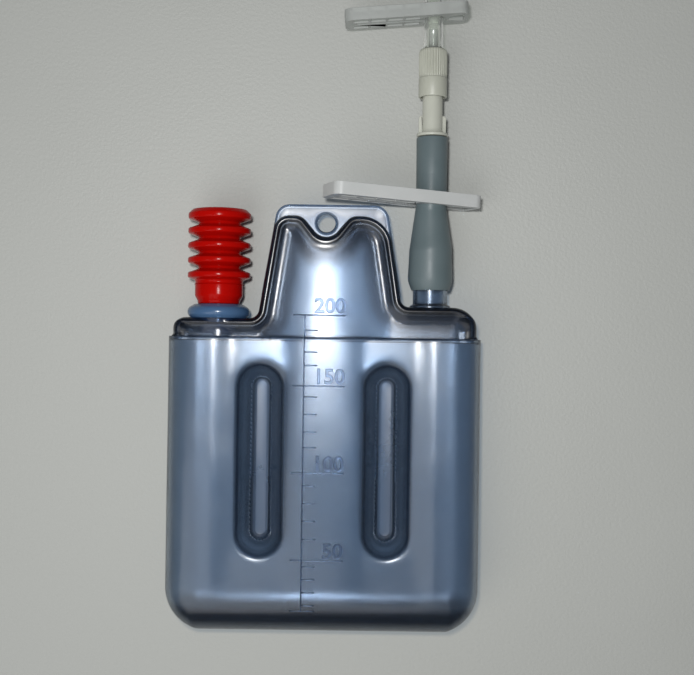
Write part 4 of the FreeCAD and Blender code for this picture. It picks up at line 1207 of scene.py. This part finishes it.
def coil_points():
    """Two flat turns, the climb onto them, the groove between them, and the way to the adapter."""
    points = []
    for turn in range(0, 721, TURN_STEP):
        points.append(coil_point(COIL_RADIUS - COIL_PITCH * turn / 360, turn, ON_TABLE))
    rest = COIL_PITCH * 1.01
    for turn in range(TURN_STEP, 361, TURN_STEP):
        under = COIL_RADIUS - COIL_PITCH * (1 + turn / 360)
        lean = math.radians(180 - 120 * min(1.0, turn / 75))
        radius, height = under + rest * math.cos(lean), ON_TABLE + rest * math.sin(lean)
        if turn > 270:
            share = (turn - 270) / 90
            groove = COIL_RADIUS - COIL_PITCH * 1.75 + rest / 2
            radius = groove + (ADAPTER_X - COIL_CENTRE[0] - groove) * share
            height += (ADAPTER_HEIGHT - height) * math.sin(share * math.pi / 2)
        points.append(coil_point(radius, turn, height))
    return points + [at(ADAPTER_X, y, ADAPTER_HEIGHT) for y in (306.0, 312.0)]


def smooth_route(points):
    """Points along a smooth curve that has the chosen points as its control points."""
    curve = bpy.data.curves.new("tube_route", "CURVE")
    curve.dimensions = "3D"
    spline = curve.splines.new("NURBS")
    spline.points.add(len(points) - 1)
    for spot, point in zip(points, spline.points):
        point.co = (*spot, 1.0)
    spline.order_u = 3
    spline.use_endpoint_u = True
    spline.resolution_u = 5
    traced = bpy.data.meshes.new_from_object(bpy.data.objects.new("tube_route", curve))
    return [vert.co.copy() for vert in traced.vertices]


route = smooth_route([at(LINE_X, y, z) for y, z in LINE_POINTS] + coil_points())
route_length = sum((b - a).length for a, b in zip(route, route[1:]))
print("route points:", len(route), "length, m:", round(route_length, 3))

# %% [markdown]
# The tube's wall is drawn round that line: an outer skin, a bore, and a flat ring at each end.

# %% Tube
def tube_mesh(path, sides=28):
    """Outer skin and bore of a tube along a path in metres."""
    across = Vector((1, 0, 0))
    verts = []
    for before, spot, after in zip(path[:1] + path, path, path[1:] + path[-1:]):
        along = (after - before).normalized()
        across = (across - along * across.dot(along)).normalized()
        upright = along.cross(across)
        for radius in (TUBE_RADIUS * MM, TUBE_BORE * MM):
            for side in range(sides):
                angle = 2 * math.pi * side / sides
                verts.append(spot + (across * math.cos(angle) + upright * math.sin(angle)) * radius)
    rings = [range(n, n + sides) for n in range(0, len(verts), sides)]
    outer, bore = rings[::2], rings[1::2]
    faces = band(outer[0], bore[0]) + band(bore[-1], outer[-1])
    for number in range(1, len(path)):
        faces += band(outer[number], outer[number - 1]) + band(bore[number - 1], bore[number])
    return verts, faces


verts, faces = tube_mesh(route)
tube = new_piece("drain_tube_clear", verts, faces, "tube", "drain", "drain_tube", "tube_coil")

# %% [markdown]
# A stepped adapter ends the tube. Each step has a small lip that grips the hose it is pushed into.

# %% Adapter
ADAPTER_LENGTH = 46.0
STEPS = 4


def adapter_corners():
    """A plain grip and four steps, each narrower than the last."""
    grip = ADAPTER_LENGTH * 0.3
    step = (ADAPTER_LENGTH - grip) / STEPS
    corners = [(3.55, 0, 0.2), (4.9, 0, 0.6), (4.9, grip, 0.8)]
    for number in range(STEPS):
        wide, foot = 4.1 - 1.6 * number / (STEPS - 1), grip + step * number
        top = foot + step
        corners += [(wide - 0.55, foot + 0.1), (wide - 0.3, top - 2.4, 1.0),
                    (wide, top - 2.0, 0.2), (wide - 0.35, top - 0.1, 0.1)]
    return corners + [(1.5, ADAPTER_LENGTH - 0.1, 0.2), (1.5, 14.0), (3.55, 13.0)]


adapter = turned(
    "stepped_adapter", adapter_corners(), ADAPTER_X, COIL_CENTRE[1], "adapter", "drain",
    "drain_adapter", height=ADAPTER_HEIGHT)
print("adapter from", COIL_CENTRE[1], "to", COIL_CENTRE[1] + ADAPTER_LENGTH, "mm above the base")
